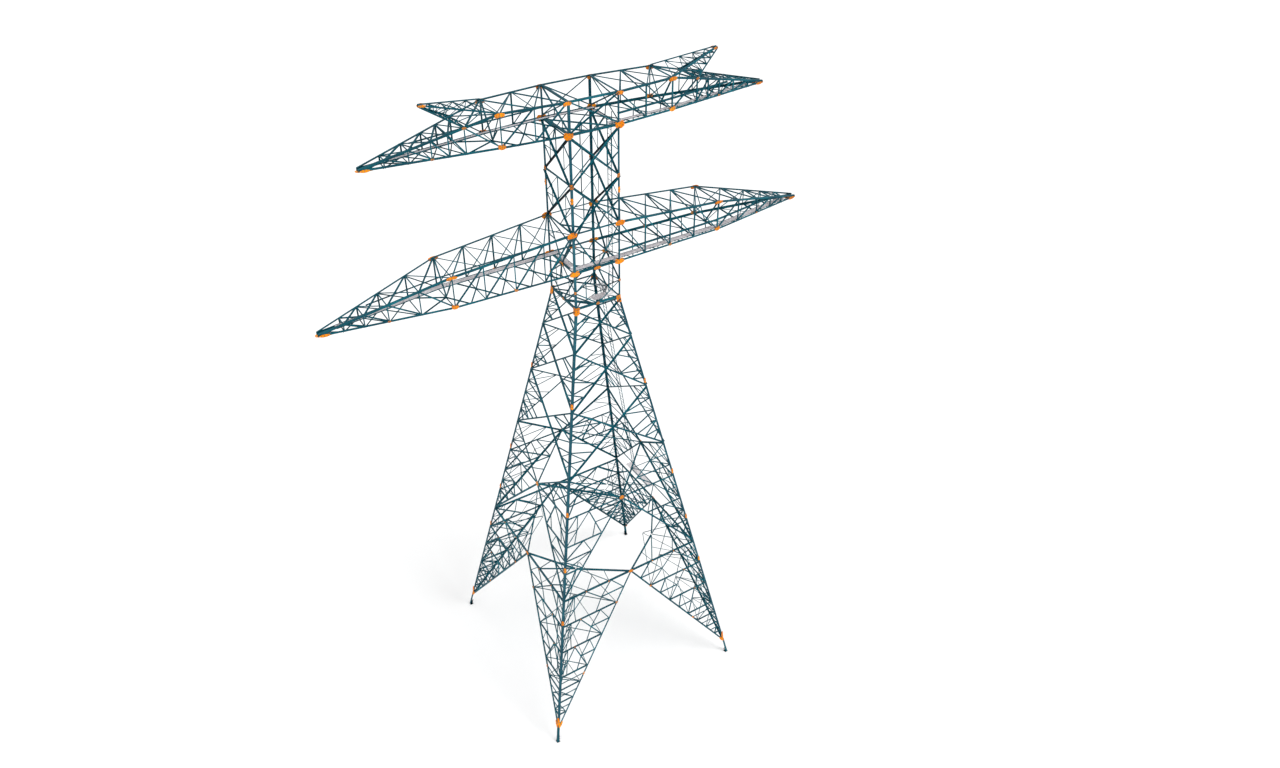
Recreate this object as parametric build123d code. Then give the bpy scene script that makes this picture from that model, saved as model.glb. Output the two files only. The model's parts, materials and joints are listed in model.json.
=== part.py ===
from build123d import *
import os
from math import atan2, cos, hypot, sin, tan

# Half-size model of a double-circuit lattice transmission pylon: a square tapering body on four
# spread legs, a straight cage above the waist, a long lower crossarm, a shorter upper crossarm
# with two earth-wire horns, and grating walkways reached by ladders inside the tower.
# Millimetres. Z is up, the crossarms run along X, and the wires would run along Y.
# The origin is on the ground plane in the middle of the four feet.
# Flat bars stand for rolled angles. They lie against the inner side of the leg flanges, so each
# lattice side is one flat grid that touches the legs face to face.

os.makedirs("parts", exist_ok=True)

# ---- driving dimensions -------------------------------------------------------------------

# heights, each measured from the level below it
STUB_H = 800.0          # ground to the lowest bracing node
PORTAL_H = 4955.0       # up to the main horizontal, where the inclined chords of the legs meet
K_LOW_H = 3035.0        # up to the centre of the big K panel
K_HIGH_H = 1385.0       # up to the first crossed panel
PANEL_H = (2285.0, 1860.0, 1310.0)   # the crossed panels, up to the waist
DIAMOND_H = (620.0, 620.0)   # waist to the side nodes, side nodes to the lower crossarm
LOWER_ROOT_H = 1300.0   # depth of the lower crossarm at the cage
CAGE_PANEL_H = (1430.0, 1435.0)   # crossed panels between the crossarms
UPPER_ROOT_H = 940.0    # depth of the upper crossarm at the cage
HORN_H = 405.0          # earth-wire point above the upper crossarm
LOWER_KNEE_H = 980.0    # depth of the lower crossarm at its knee

FOOT_HALF = 3638.0      # half the distance between leg heels at the lowest node
CAGE_HALF = 775.0       # half the cage width over the legs

# crossarms: length from the cage to the knee, then from the knee to the tip
LOWER_INNER_L = 3635.0
LOWER_OUTER_L = 3600.0
LOWER_KNEE_Y = 658.0    # half width at the knee, then at the tip
LOWER_TIP_Y = 90.0
LOWER_INNER_BAYS = 4
LOWER_OUTER_STEPS = (0.254, 0.492, 0.669, 0.816)   # web nodes as shares of the tapering length

UPPER_INNER_L = 1842.0
UPPER_OUTER_L = 3598.0
UPPER_KNEE_Y = 595.0
UPPER_TIP_Y = 85.0
UPPER_INNER_BAYS = 2
UPPER_OUTER_STEPS = (0.257, 0.377, 0.499, 0.658, 0.826)

HORN_L = 1915.0         # earth-wire point beyond the upper crossarm's knee
HORN_Y = 37.0
HORN_NODE = 1           # web node of the upper crossarm that carries the horn's lower chord

LEG_B = 80.0            # leg angle, lower part
LEG_T = 9.0
CAGE_LEG_B = 74.0       # leg angle, cage
CAGE_LEG_T = 8.0
BAR_T = 9.0             # thickness of the flat bars of the body and cage sides
ARM_T = 8.0             # thickness of the flat bars of the crossarms and frames
CHORD_B = 54.0          # bar widths
TOP_CHORD_B = 46.0
MAIN_B = 58.0
BRACE_B = 46.0
WEB_B = 36.0
LIGHT_B = 28.0

CORNER_GAP = 24.0       # bar ends stay this far from the plane of the next side
FIT = 0.3               # clearance between pieces that meet
PLATE_T = 8.0           # gusset plates
WALK_W = 266.0          # walkway width
WALK_T = 12.0
LADDER_W = 200.0
LADDER_T = 12.0
RUNG_STEP = 150.0
SHACKLE_R = 14.0        # holes in the tip plates

# ---- levels and places that follow ----------------------------------------------------------

FOOT_Z = STUB_H
PORTAL_Z = FOOT_Z + PORTAL_H
CROSS_Z = PORTAL_Z + K_LOW_H
PANEL_Z = (CROSS_Z + K_HIGH_H, CROSS_Z + K_HIGH_H + PANEL_H[0],
           CROSS_Z + K_HIGH_H + PANEL_H[0] + PANEL_H[1])
WAIST_Z = PANEL_Z[2] + PANEL_H[2]       # the legs turn vertical
CAGE_NODE_Z = WAIST_Z + DIAMOND_H[0]
LOWER_Z = CAGE_NODE_Z + DIAMOND_H[1]    # underside of the lower crossarm
LOWER_TOP_Z = LOWER_Z + LOWER_ROOT_H
CAGE_MID_Z = LOWER_TOP_Z + CAGE_PANEL_H[0]
UPPER_Z = CAGE_MID_Z + CAGE_PANEL_H[1]  # underside of the upper crossarm
UPPER_TOP_Z = UPPER_Z + UPPER_ROOT_H
HORN_Z = UPPER_TOP_Z + HORN_H
LOWER_KNEE_X = CAGE_HALF + LOWER_INNER_L
LOWER_TIP_X = LOWER_KNEE_X + LOWER_OUTER_L
LOWER_KNEE_TOP_Z = LOWER_Z + LOWER_KNEE_H
UPPER_KNEE_X = CAGE_HALF + UPPER_INNER_L
UPPER_TIP_X = UPPER_KNEE_X + UPPER_OUTER_L
HORN_X = UPPER_KNEE_X + HORN_L

# ---- small helpers --------------------------------------------------------------------------

TAPER = atan2(FOOT_HALF - CAGE_HALF, WAIST_Z - FOOT_Z)


def half(z):
    """Half the distance between the leg heels at height z."""
    if z >= WAIST_Z:
        return CAGE_HALF
    return CAGE_HALF + (WAIST_Z - z) * tan(TAPER)


def between(p, q, share):
    """The point a share of the way from p to q."""
    return tuple(a + (b - a) * share for a, b in zip(p, q))


def bar(p, q, width, grow=0.0):
    """A flat bar from p to q as a four-sided sketch, longer by grow at each end."""
    length = hypot(q[0] - p[0], q[1] - p[1])
    ux, uy = (q[0] - p[0]) / length, (q[1] - p[1]) / length
    nx, ny = -uy * width / 2, ux * width / 2
    p = (p[0] - ux * grow, p[1] - uy * grow)
    q = (q[0] + ux * grow, q[1] + uy * grow)
    return make_face(Polyline((p[0] + nx, p[1] + ny), (q[0] + nx, q[1] + ny),
                              (q[0] - nx, q[1] - ny), (p[0] - nx, p[1] - ny), close=True))


def outline(*points):
    return make_face(Polyline(*points, close=True))


def mirrored(bars):
    """Each bar and its mirror image about the panel's centre line."""
    other = [((-p[0], p[1]), (-q[0], q[1]), w) for p, q, w in bars]
    return bars + other


def grid(plane, bars, region, thickness):
    """Bars fused where they cross, trimmed to a region and given their thickness."""
    flat = Sketch() + [bar(p, q, w) for p, q, w in bars]
    return extrude(plane * (flat & region), amount=thickness, dir=plane.z_dir)


def turned(shape, quarter):
    return Rot(0, 0, 90 * quarter) * shape


def write(shape, name):
    solids = list(shape.solids()) if hasattr(shape, "solids") else list(shape)
    compound = Compound(label=name, children=solids)
    export_step(compound, f"parts/{name}.step")
    return compound


# ---- legs -----------------------------------------------------------------------------------

def angle_leg(b, t, z0, z1, lean):
    """An angle with its heel on the south-west corner, cut level at both ends."""
    thick = t / cos(lean)
    x = half(z0) if lean else CAGE_HALF
    section = outline((-x, -x, z0), (-x + b, -x, z0), (-x + b, -x + thick, z0),
                      (-x + thick, -x + thick, z0), (-x + thick, -x + b, z0), (-x, -x + b, z0))
    rise = z1 - z0
    return Solid.extrude(section.face(), Vector(rise * tan(lean), rise * tan(lean), rise))


STUB_CLEATS = (110.0, 300.0, 490.0)
CLEAT = 60.0


def stub_cleats():
    """Short angle cleats on the stub's outer faces that key it into concrete."""
    pieces = []
    for z in STUB_CLEATS:
        x = half(z)
        for box_at in ((-x + LEG_B / 2, -x), (-x, -x + LEG_B / 2)):
            along_x = box_at[1] == -x
            size = (LEG_B, CLEAT / 2, 8.0) if along_x else (CLEAT / 2, LEG_B, 8.0)
            shift = (0, -CLEAT / 4 + 2.0) if along_x else (-CLEAT / 4 + 2.0, 0)
            pieces.append(Pos(box_at[0] + shift[0], box_at[1] + shift[1], z) * Box(*size))
    return pieces


def leg():
    shaft = angle_leg(LEG_B, LEG_T, 0.0, WAIST_Z, TAPER)
    return Part(shaft.wrapped) + stub_cleats()


CORNERS = ("south_west", "south_east", "north_east", "north_west")
SIDES = ("south", "east", "north", "west")


def make_legs():
    low = leg()
    high = Part(angle_leg(CAGE_LEG_B, CAGE_LEG_T, WAIST_Z, UPPER_TOP_Z, 0.0).wrapped)
    for k, corner in enumerate(CORNERS):
        write(turned(low, k), f"leg_{corner}")
        write(turned(high, k), f"cage_leg_{corner}")


# ---- sloping sides --------------------------------------------------------------------------

def on_side(a, z):
    """A point of a sloping side: a across, and the distance up the slope from the foot node."""
    return (a, (z - FOOT_Z) / cos(TAPER))


def side_plane(depth):
    """South side, moved in by depth at right angles to it, facing inward."""
    inward = Vector(0, cos(TAPER), -sin(TAPER))
    start = Vector(0, -FOOT_HALF, FOOT_Z) + inward * depth
    return Plane(origin=start, x_dir=(-1, 0, 0), z_dir=inward)


def side_region(z0, z1):
    gap = CORNER_GAP
    return outline(on_side(-half(z0) + gap, z0), on_side(half(z0) - gap, z0),
                   on_side(half(z1) - gap, z1), on_side(-half(z1) + gap, z1))


def chord_x(z):
    """Where the inclined chord of the left leg is at height z."""
    return -FOOT_HALF * (PORTAL_Z - z) / (PORTAL_Z - FOOT_Z)


TIERS = tuple(FOOT_Z + (PORTAL_Z - FOOT_Z) * k for k in (1.0, 0.798, 0.592, 0.386, 0.282, 0.177))


def portal_bars():
    bars = [((chord_x(FOOT_Z), FOOT_Z), (0.0, PORTAL_Z), MAIN_B)]
    for z in TIERS[1:]:
        bars.append(((-half(z), z), (chord_x(z), z), BRACE_B if z > TIERS[4] else WEB_B))
    for high, low in zip(TIERS[:3], TIERS[1:4]):
        apex = between((-half(high), high), (chord_x(high), high), 1 / 3)
        bars.append((apex, (-half(low), low), WEB_B))
        bars.append((apex, (chord_x(low), low), WEB_B))
    for high, low in zip(TIERS[3:5], TIERS[4:6]):
        bars.append(((-half(high), high), (chord_x(low), low), WEB_B))
    return [((-half(PORTAL_Z), PORTAL_Z), (half(PORTAL_Z), PORTAL_Z), MAIN_B)] + mirrored(bars)


K_TIERS = tuple(PORTAL_Z + (CROSS_Z - PORTAL_Z) * k for k in (0.665, 0.336))


def brace_x(z):
    """Where the K brace is at height z, on the left."""
    foot = PORTAL_Z + MAIN_B
    return -half(foot) * (CROSS_Z - z) / (CROSS_Z - foot)


def body_bars():
    top = PANEL_Z[0]
    bars = [((-half(top), top), (0.0, CROSS_Z), BRACE_B),
            ((0.0, CROSS_Z), (brace_x(PORTAL_Z + MAIN_B), PORTAL_Z + MAIN_B), MAIN_B)]
    for z in K_TIERS:
        bars.append(((-half(z), z), (brace_x(z), z), WEB_B))
    apex = between((-half(CROSS_Z), CROSS_Z), (0.0, CROSS_Z), 1 / 3)
    bars.append((apex, (-half(K_TIERS[0]), K_TIERS[0]), WEB_B))
    bars.append((apex, (brace_x(K_TIERS[0]), K_TIERS[0]), WEB_B))
    mid = between((-half(K_TIERS[0]), K_TIERS[0]), (brace_x(K_TIERS[0]), K_TIERS[0]), 1 / 2)
    bars.append((mid, (-half(K_TIERS[1]), K_TIERS[1]), WEB_B))
    bars.append((mid, (brace_x(K_TIERS[1]), K_TIERS[1]), WEB_B))
    levels = PANEL_Z + (WAIST_Z,)
    for low, high in zip(levels[:-1], levels[1:]):
        bars.append(((-half(low), low), (half(high), high), BRACE_B))
    bars = mirrored(bars)
    bars.append(((-half(CROSS_Z), CROSS_Z), (half(CROSS_Z), CROSS_Z), WEB_B))
    under_waist = WAIST_Z - MAIN_B / 2
    bars.append(((-half(under_waist), under_waist), (half(under_waist), under_waist), MAIN_B))
    return bars


def on_slope(bars):
    return [(on_side(*p), on_side(*q), w) for p, q, w in bars]


def make_body():
    plane = side_plane(LEG_T)
    seam = PORTAL_Z + MAIN_B / 2 * cos(TAPER)
    portal = grid(plane, on_slope(portal_bars()), side_region(FOOT_Z, seam), BAR_T)
    body = grid(plane, on_slope(body_bars()), side_region(seam + FIT, WAIST_Z), BAR_T)
    for k, side in enumerate(SIDES):
        write(turned(portal, k), f"portal_{side}")
        write(turned(body, k), f"body_{side}")


def inner_space(z0, z1):
    """The space inside the four sloping sides, clear of their bars."""
    inset = (LEG_T + BAR_T + FIT) / cos(TAPER)
    low, high = half(z0) - inset, half(z1) - inset
    return loft([Pos(0, 0, z0) * Rectangle(2 * low, 2 * low),
                 Pos(0, 0, z1) * Rectangle(2 * high, 2 * high)])


def make_inner_frames():
    """Ties between the two inclined chords of each leg, on the leg's inner side."""
    foot = Vector(-FOOT_HALF, -FOOT_HALF, FOOT_Z)
    south = Vector(0, -half(PORTAL_Z), PORTAL_Z)
    west = Vector(-half(PORTAL_Z), 0, PORTAL_Z)
    across = (south - west).normalized()
    normal = (south - foot).cross(west - foot).normalized()
    plane = Plane(origin=foot, x_dir=across, z_dir=normal)
    up = plane.y_dir.dot(south - foot)

    def chord(z, side):
        share = (z - FOOT_Z) / (PORTAL_Z - FOOT_Z)
        return (side * share * (south - west).length / 2, share * up)

    bars = []
    levels = TIERS[1:]
    for z in levels:
        bars.append((chord(z, -1), chord(z, 1), WEB_B))
    for high, low in zip(TIERS[:3], TIERS[1:4]):
        middle = between(chord(high, -1), chord(high, 1), 0.5)
        bars.append((middle, chord(low, -1), LIGHT_B))
        bars.append((middle, chord(low, 1), LIGHT_B))
    for high, low in zip(TIERS[3:5], TIERS[4:6]):
        bars.append((chord(high, -1), chord(low, 1), LIGHT_B))
    big = 2 * FOOT_HALF
    region = outline((-big, 0), (big, 0), (big, big), (-big, big))
    frame = grid(plane, bars, region, ARM_T)
    room = inner_space(FOOT_Z, PORTAL_Z)
    frames = [turned(frame & room, k) for k in range(4)]
    write(Part() + frames, "leg_inner_frames")


# ---- level frames ---------------------------------------------------------------------------

def level(z, bars, room, name):
    quarter = [((-q[1], q[0]), (-p[1], p[0]), w) for p, q, w in bars]
    turned_bars = bars + quarter
    turned_bars += [((-p[0], -p[1]), (-q[0], -q[1]), w) for p, q, w in turned_bars]
    size = 2 * half(z)
    frame = grid(Plane.XY.offset(z - ARM_T / 2), turned_bars, Rectangle(size, size), ARM_T)
    write(frame & room, name)


PORTAL_CORNER = 0.59     # corner node of the portal frame, as a share of the half width


def make_level_frames():
    reach = half(PORTAL_Z)
    corner = (-PORTAL_CORNER * reach, -PORTAL_CORNER * reach)
    third = reach / 3
    bars = [((0.0, -reach), corner, BRACE_B), (corner, (-reach, 0.0), BRACE_B),
            (corner, (-reach, -reach), WEB_B),
            (corner, (-third, -reach), WEB_B), (corner, (-reach, -third), WEB_B)]
    level(PORTAL_Z, bars, inner_space(PORTAL_Z - 200, PORTAL_Z + 200), "portal_frame")
    reach = half(CROSS_Z)
    middle = (-reach / 2, -reach / 2)
    bars = [((0.0, -reach), (-reach, 0.0), BRACE_B), (middle, (-reach, -reach), WEB_B)]
    level(CROSS_Z, bars, inner_space(CROSS_Z - 200, CROSS_Z + 200), "cross_frame")
    inside = 2 * (CAGE_HALF - CAGE_LEG_T - BAR_T - FIT)
    reach = CAGE_HALF
    diamond = [((0.0, -reach), (-reach, 0.0), WEB_B)]
    for z, name in ((WAIST_Z + MAIN_B / 2, "waist_frame"), (LOWER_Z + ARM_T / 2, "lower_arm_frame"),
                    (LOWER_TOP_Z - ARM_T / 2, "lower_arm_top_frame"),
                    (UPPER_Z + ARM_T / 2, "upper_arm_frame")):
        room = Pos(0, 0, z) * Box(inside, inside, 100)
        level(z, diamond, room, name)


# ---- cage sides -----------------------------------------------------------------------------

def cage_plane():
    """South side of the cage, on the inner face of the leg flanges, facing inward."""
    return Plane(origin=(0, -CAGE_HALF + CAGE_LEG_T, 0), x_dir=(-1, 0, 0), z_dir=(0, 1, 0))


def cage_bars(across_wires):
    """Bars of a cage side. The side across the wires' line also carries the crossarms' chords."""
    h = CAGE_HALF
    low = WAIST_Z + MAIN_B / 2
    bars = [((0.0, low), (-h, CAGE_NODE_Z), BRACE_B), ((-h, CAGE_NODE_Z), (0.0, LOWER_Z), BRACE_B),
            ((-h, LOWER_TOP_Z), (0.0, LOWER_Z + CHORD_B / 2), BRACE_B),
            ((-h, LOWER_TOP_Z), (h, CAGE_MID_Z), BRACE_B),
            ((-h, CAGE_MID_Z), (h, UPPER_Z), BRACE_B),
            ((-h, UPPER_Z + 1.5 * CHORD_B), (h, UPPER_TOP_Z), WEB_B)]
    bars = mirrored(bars)
    for z, width in ((low, MAIN_B), (LOWER_Z + CHORD_B / 2, CHORD_B),
                     (LOWER_TOP_Z - TOP_CHORD_B / 2, TOP_CHORD_B),
                     (UPPER_Z + CHORD_B / 2, CHORD_B), (UPPER_TOP_Z - TOP_CHORD_B / 2, TOP_CHORD_B)):
        bars.append(((-h, z), (h, z), width))
    if not across_wires:
        bars.append(((-h, CAGE_MID_Z), (h, CAGE_MID_Z), WEB_B))
    return bars


def make_cage():
    edge = CAGE_HALF - CORNER_GAP
    region = outline((-edge, WAIST_Z), (edge, WAIST_Z), (edge, UPPER_TOP_Z), (-edge, UPPER_TOP_Z))
    for k, side in enumerate(SIDES):
        panel = grid(cage_plane(), cage_bars(k % 2 == 0), region, BAR_T)
        write(turned(panel, k), f"cage_{side}")


# ---- crossarms ------------------------------------------------------------------------------

class Arm:
    """One crossarm to the east. The west one is the same, turned half round."""

    def __init__(self, name, z, top_z, knee, knee_top_z, tip, bays, steps):
        self.name, self.z = name, z
        self.root = (CAGE_HALF, CAGE_HALF)
        self.knee, self.tip = knee, tip
        tip_top_z = z + CHORD_B / 2 + TOP_CHORD_B
        self.tops = ((CAGE_HALF, top_z), (knee[0], knee_top_z), (tip[0], tip_top_z))
        self.inner = [CAGE_HALF + (knee[0] - CAGE_HALF) * k / bays for k in range(bays + 1)]
        self.outer = [knee[0] + (tip[0] - knee[0]) * s for s in (0.0,) + steps]

    def width(self, x):
        """Half width over the chords at x."""
        a, b = (self.root, self.knee) if x <= self.knee[0] else (self.knee, self.tip)
        return a[1] + (b[1] - a[1]) * (x - a[0]) / (b[0] - a[0])

    def top(self, x):
        a, b = self.tops[:2] if x <= self.knee[0] else self.tops[1:]
        return a[1] + (b[1] - a[1]) * (x - a[0]) / (b[0] - a[0])

    def panel(self, x0, x1, bars):
        """One flat south panel between x0 and x1."""
        start = Vector(x0, -self.width(x0), 0)
        along = (Vector(x1, -self.width(x1), 0) - start).normalized()
        plane = Plane(origin=start, x_dir=along, z_dir=along.cross(Vector(0, 0, -1)))
        flat_bars = [(((p[0] - x0) / along.X, -p[1]), ((q[0] - x0) / along.X, -q[1]), w)
                     for p, q, w in bars]
        end = (x1 - x0) / along.X
        low = self.z
        start_gap = FIT + ARM_T * abs(along.Y)
        start_top = self.top(x0 + start_gap * along.X)
        region = outline((start_gap, -low), (end, -low), (end, -self.top(x1)),
                         (start_gap, -start_top))
        return grid(plane, flat_bars, region, ARM_T)

    def chords(self, x0, x1):
        low = self.z + CHORD_B / 2
        drop = TOP_CHORD_B / 2
        return [((x0, low), (x1, low), CHORD_B),
                ((x0, self.top(x0) - drop), (x1, self.top(x1) - drop), TOP_CHORD_B)]

    def inner_webs(self):
        low = self.z + CHORD_B / 2
        bars = [((x, low), (x, self.top(x) - TOP_CHORD_B / 2), WEB_B) for x in self.inner[1:]]
        for a, b in zip(self.inner[:-1], self.inner[1:]):
            bars.append(((a, self.top(a) - TOP_CHORD_B / 2), (b, low), WEB_B))
        return bars

    def outer_webs(self):
        low = self.z + CHORD_B / 2
        bars = [((x, low), (x, self.top(x) - TOP_CHORD_B / 2), LIGHT_B) for x in self.outer[1:]]
        for a, b in zip(self.outer[:-1], self.outer[1:]):
            bars.append(((a, low), (b, self.top(b) - TOP_CHORD_B / 2), LIGHT_B))
        return bars

    def side(self):
        knee_x, tip_x = self.knee[0], self.tip[0]
        inner = self.panel(CAGE_HALF, knee_x, self.chords(CAGE_HALF, knee_x) + self.inner_webs())
        outer = self.panel(knee_x, tip_x, self.chords(knee_x, tip_x) + self.outer_webs())
        return [inner, outer]

    def plan_region(self, gap):
        """Between the two side panels, seen from above."""
        xs = (CAGE_HALF + FIT, self.knee[0], self.tip[0])
        south = [(x, -self.width(x) + gap) for x in xs]
        return outline(*(south + [(x, -y) for x, y in reversed(south)]))

    def bottom(self):
        bars = []
        for x in self.inner + self.outer[1:]:
            bars.append(((x, -self.width(x)), (x, self.width(x)), WEB_B))
        for a, b in zip(self.inner[:-1], self.inner[1:]):
            mid = (a + b) / 2
            for y in (-self.width(mid), self.width(mid)):
                bars += [((a, 0.0), (mid, y), WEB_B), ((mid, y), (b, 0.0), WEB_B)]
        first = self.outer[1]
        for y in (-1, 1):
            bars.append(((self.knee[0], 0.0), (first, y * self.width(first)), WEB_B))
        tip_x = self.tip[0] - CHORD_B
        for a, b in zip(self.outer[1:], self.outer[2:] + [tip_x]):
            bars += [((a, -self.width(a)), (b, self.width(b)), LIGHT_B),
                     ((a, self.width(a)), (b, -self.width(b)), LIGHT_B)]
        bars.append(((tip_x, -self.width(tip_x)), (tip_x, self.width(tip_x)), 2 * CHORD_B))
        gap = ARM_T * 1.02 + FIT
        return grid(Plane.XY.offset(self.z), bars, self.plan_region(gap), ARM_T)

    def top_frame(self):
        """Cross bracing between the top chords, in one plane to the knee and one to the tip."""
        parts = []
        for (x0, z0), (x1, z1), nodes in ((self.tops[0], self.tops[1], self.inner),
                                          (self.tops[1], self.tops[2], self.outer)):
            slope = Vector(x1 - x0, 0, z1 - z0).normalized()
            plane = Plane(origin=(x0, 0, z0), x_dir=slope, z_dir=slope.cross(Vector(0, 1, 0)))
            stretch = 1 / slope.X
            bars = []
            for x in nodes[1:]:
                place = (x - x0) * stretch
                bars.append(((place, -self.width(x)), (place, self.width(x)), LIGHT_B))
            for a, b in zip(nodes[:-1], nodes[1:]):
                pa, pb = (a - x0) * stretch, (b - x0) * stretch
                bars += [((pa, -self.width(a)), (pb, self.width(b)), LIGHT_B),
                         ((pa, self.width(a)), (pb, -self.width(b)), LIGHT_B)]
            start_gap = FIT + ARM_T * abs(slope.Z)
            gap = ARM_T * 1.08 + FIT
            end = (x1 - x0) * stretch
            region = outline((start_gap, -self.width(x0) + gap), (end, -self.width(x1) + gap),
                             (end, self.width(x1) - gap), (start_gap, self.width(x0) - gap))
            parts.append(extrude(plane * ((Sketch() + [bar(p, q, w) for p, q, w in bars]) & region),
                                 amount=-ARM_T, dir=plane.z_dir))
        return parts

    def make(self):
        south, bottom, top = self.side(), self.bottom(), self.top_frame()
        sides = south + [mirror(s, about=Plane.XZ) for s in south]
        for name, quarter in (("east", 0), ("west", 2)):
            write(Compound(children=[turned(s, quarter) for s in sides]),
                  f"{self.name}_arm_{name}_sides")
            write(turned(bottom, quarter), f"{self.name}_arm_{name}_bottom")
            write(Compound(children=[turned(t, quarter) for t in top]),
                  f"{self.name}_arm_{name}_top")


lower_arm = Arm("lower", LOWER_Z, LOWER_TOP_Z, (LOWER_KNEE_X, LOWER_KNEE_Y), LOWER_KNEE_TOP_Z,
                (LOWER_TIP_X, LOWER_TIP_Y), LOWER_INNER_BAYS, LOWER_OUTER_STEPS)
upper_arm = Arm("upper", UPPER_Z, UPPER_TOP_Z, (UPPER_KNEE_X, UPPER_KNEE_Y), UPPER_TOP_Z,
                (UPPER_TIP_X, UPPER_TIP_Y), UPPER_INNER_BAYS, UPPER_OUTER_STEPS)

# ---- earth-wire horns -----------------------------------------------------------------------

def horn():
    """East horn: four chords from the upper crossarm's top to the earth-wire point."""
    arm = upper_arm
    knee = Vector(arm.knee[0], -arm.knee[1], UPPER_TOP_Z)
    node_x = arm.outer[HORN_NODE]
    node = Vector(node_x, -arm.width(node_x), arm.top(node_x))
    apex = Vector(HORN_X, -HORN_Y, HORN_Z)
    along = (apex - knee).normalized()
    inward = along.cross(node - knee).normalized()
    if inward.Y < 0:
        inward = inward * -1
    plane = Plane(origin=knee, x_dir=along, z_dir=inward)

    def flat(point):
        local = plane.to_local_coords(point)
        return (local.X, local.Y)

    a, b, c = flat(knee), flat(node), flat(apex)
    bars = [(a, c, 2 * LIGHT_B), (b, c, 2 * LIGHT_B), (a, b, LIGHT_B)]
    shares = (0.0, 0.36, 0.66)
    for low, high in zip(shares[:-1], shares[1:]):
        bars.append((between(a, c, high), between(b, c, low), LIGHT_B))
        bars.append((between(a, c, high), between(b, c, high), LIGHT_B))
    side = grid(plane, bars, outline(a, b, c), ARM_T)
    rungs = []
    for start, thick_at in ((knee, 1), (node, -1)):
        for share in (0.36, 0.66):
            p = start + (apex - start) * share
            reach = -p.Y - 0.5
            across = Box(LIGHT_B, 2 * reach, ARM_T)
            tilt = atan2(HORN_Z - start.Z, HORN_X - start.X)
            shift = -thick_at * (ARM_T / 2 + 3.0)
            place = (p.X - sin(tilt) * shift, 0, p.Z + cos(tilt) * shift)
            rungs.append(Pos(*place) * Rot(0, -tilt * 57.29578, 0) * across)
    return side, rungs


def make_horns():
    side, rungs = horn()
    reach = 2 * UPPER_KNEE_Y
    drop = outline((UPPER_KNEE_X, UPPER_TOP_Z), (UPPER_TIP_X, upper_arm.tops[2][1]),
                   (UPPER_TIP_X, UPPER_TOP_Z + 3000), (UPPER_KNEE_X, UPPER_TOP_Z + 3000))
    over_arm = extrude(Plane.XZ * drop, amount=reach, both=True)
    clipped = side & over_arm
    tip = Pos(HORN_X - 60, 0, HORN_Z - 22) * Box(150, 2 * HORN_Y, 30)
    east = clipped + mirror(clipped, about=Plane.XZ) + [r & over_arm for r in rungs] + tip
    east -= Pos(HORN_X - 10, 0, HORN_Z - 22) * Cylinder(SHACKLE_R / 2, 100)
    west = turned(east, 2)
    write(east, "horn_east")
    write(west, "horn_west")


# ---- walkways and ladders -------------------------------------------------------------------

WALK_EDGE = CAGE_HALF - CAGE_LEG_B - 10.0


def strip_points(arm, end):
    """Outer edge of the grating beside the south chord of the east arm."""
    knee = (arm.knee[0], -(arm.knee[1] - ARM_T - 4.0))
    return [(CAGE_HALF, -WALK_EDGE), knee, (end, -(arm.width(end) - ARM_T - 4.0))]


def walkway(arm, end, turn_side):
    """Grating from tip to tip: beside the north chord to the west, the south chord to the east.

    turn_side is where it crosses the cage: -1 on the west side, 1 on the east side.
    """
    edge = strip_points(arm, end)
    inner = [(x, y + WALK_W) for x, y in reversed(edge)]
    wing = outline(*(edge + inner))
    inside = CAGE_HALF - CAGE_LEG_T - BAR_T - FIT
    across = WALK_EDGE - WALK_W / 2
    floor = Pos(0, turn_side * across) * Rectangle(2 * CAGE_HALF + 2, WALK_W)
    turn = Pos(turn_side * (inside - WALK_W / 2), 0) * Rectangle(WALK_W, 2 * WALK_EDGE)
    sill = Pos(turn_side * CAGE_HALF, -turn_side * across) * Rectangle(50, WALK_W)
    plan = wing + Rot(0, 0, 180) * wing + floor + turn + sill
    z = arm.z + CHORD_B
    deck = extrude(Pos(0, 0, z) * plan, amount=WALK_T)
    start = CAGE_HALF + 45.0
    for x, y in (edge[0], (edge[0][0], edge[0][1] + WALK_W - 8.0)):
        shift = y - edge[0][1]
        line = [(start, y)] + [(px, py + shift) for px, py in edge[1:]]
        rail = outline(*(line + [(px, py + 8.0) for px, py in reversed(line)]))
        leg_part = extrude(Pos(0, 0, arm.z + ARM_T) * rail, amount=CHORD_B - ARM_T)
        deck += [leg_part, turned(leg_part, 2)]
    return deck


def ladder_grid(plane, start, end):
    """A ladder lying on a plane, from one point to another."""
    length = hypot(end[0] - start[0], end[1] - start[1])
    ux, uy = (end[0] - start[0]) / length, (end[1] - start[1]) / length
    nx, ny = -uy * LADDER_W / 2, ux * LADDER_W / 2
    bars = [((start[0] + s * nx, start[1] + s * ny), (end[0] + s * nx, end[1] + s * ny), 22.0)
            for s in (-1, 1)]
    for k in range(1, int(length / RUNG_STEP)):
        cx, cy = start[0] + ux * RUNG_STEP * k, start[1] + uy * RUNG_STEP * k
        bars.append(((cx - nx, cy - ny), (cx + nx, cy + ny), 12.0))
    flat = Sketch() + [bar(p, q, w) for p, q, w in bars]
    return extrude(plane * flat, amount=LADDER_T, dir=plane.z_dir)


PLATFORM_Y = (-340.0, 1210.0)     # platform at the ladder's foot, inside the east side
LADDER_FOOT_Y = 1060.0
LADDER_HEAD_Y = 375.0
CAGE_LADDER_Y = -275.0
WAIST_STRIP_Y = -150.0            # waist platform: a strip along the east side and a patch beside it
WAIST_STRIP_L = 820.0
WAIST_PATCH_Y = -430.0
WAIST_PATCH_L = 520.0


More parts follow.
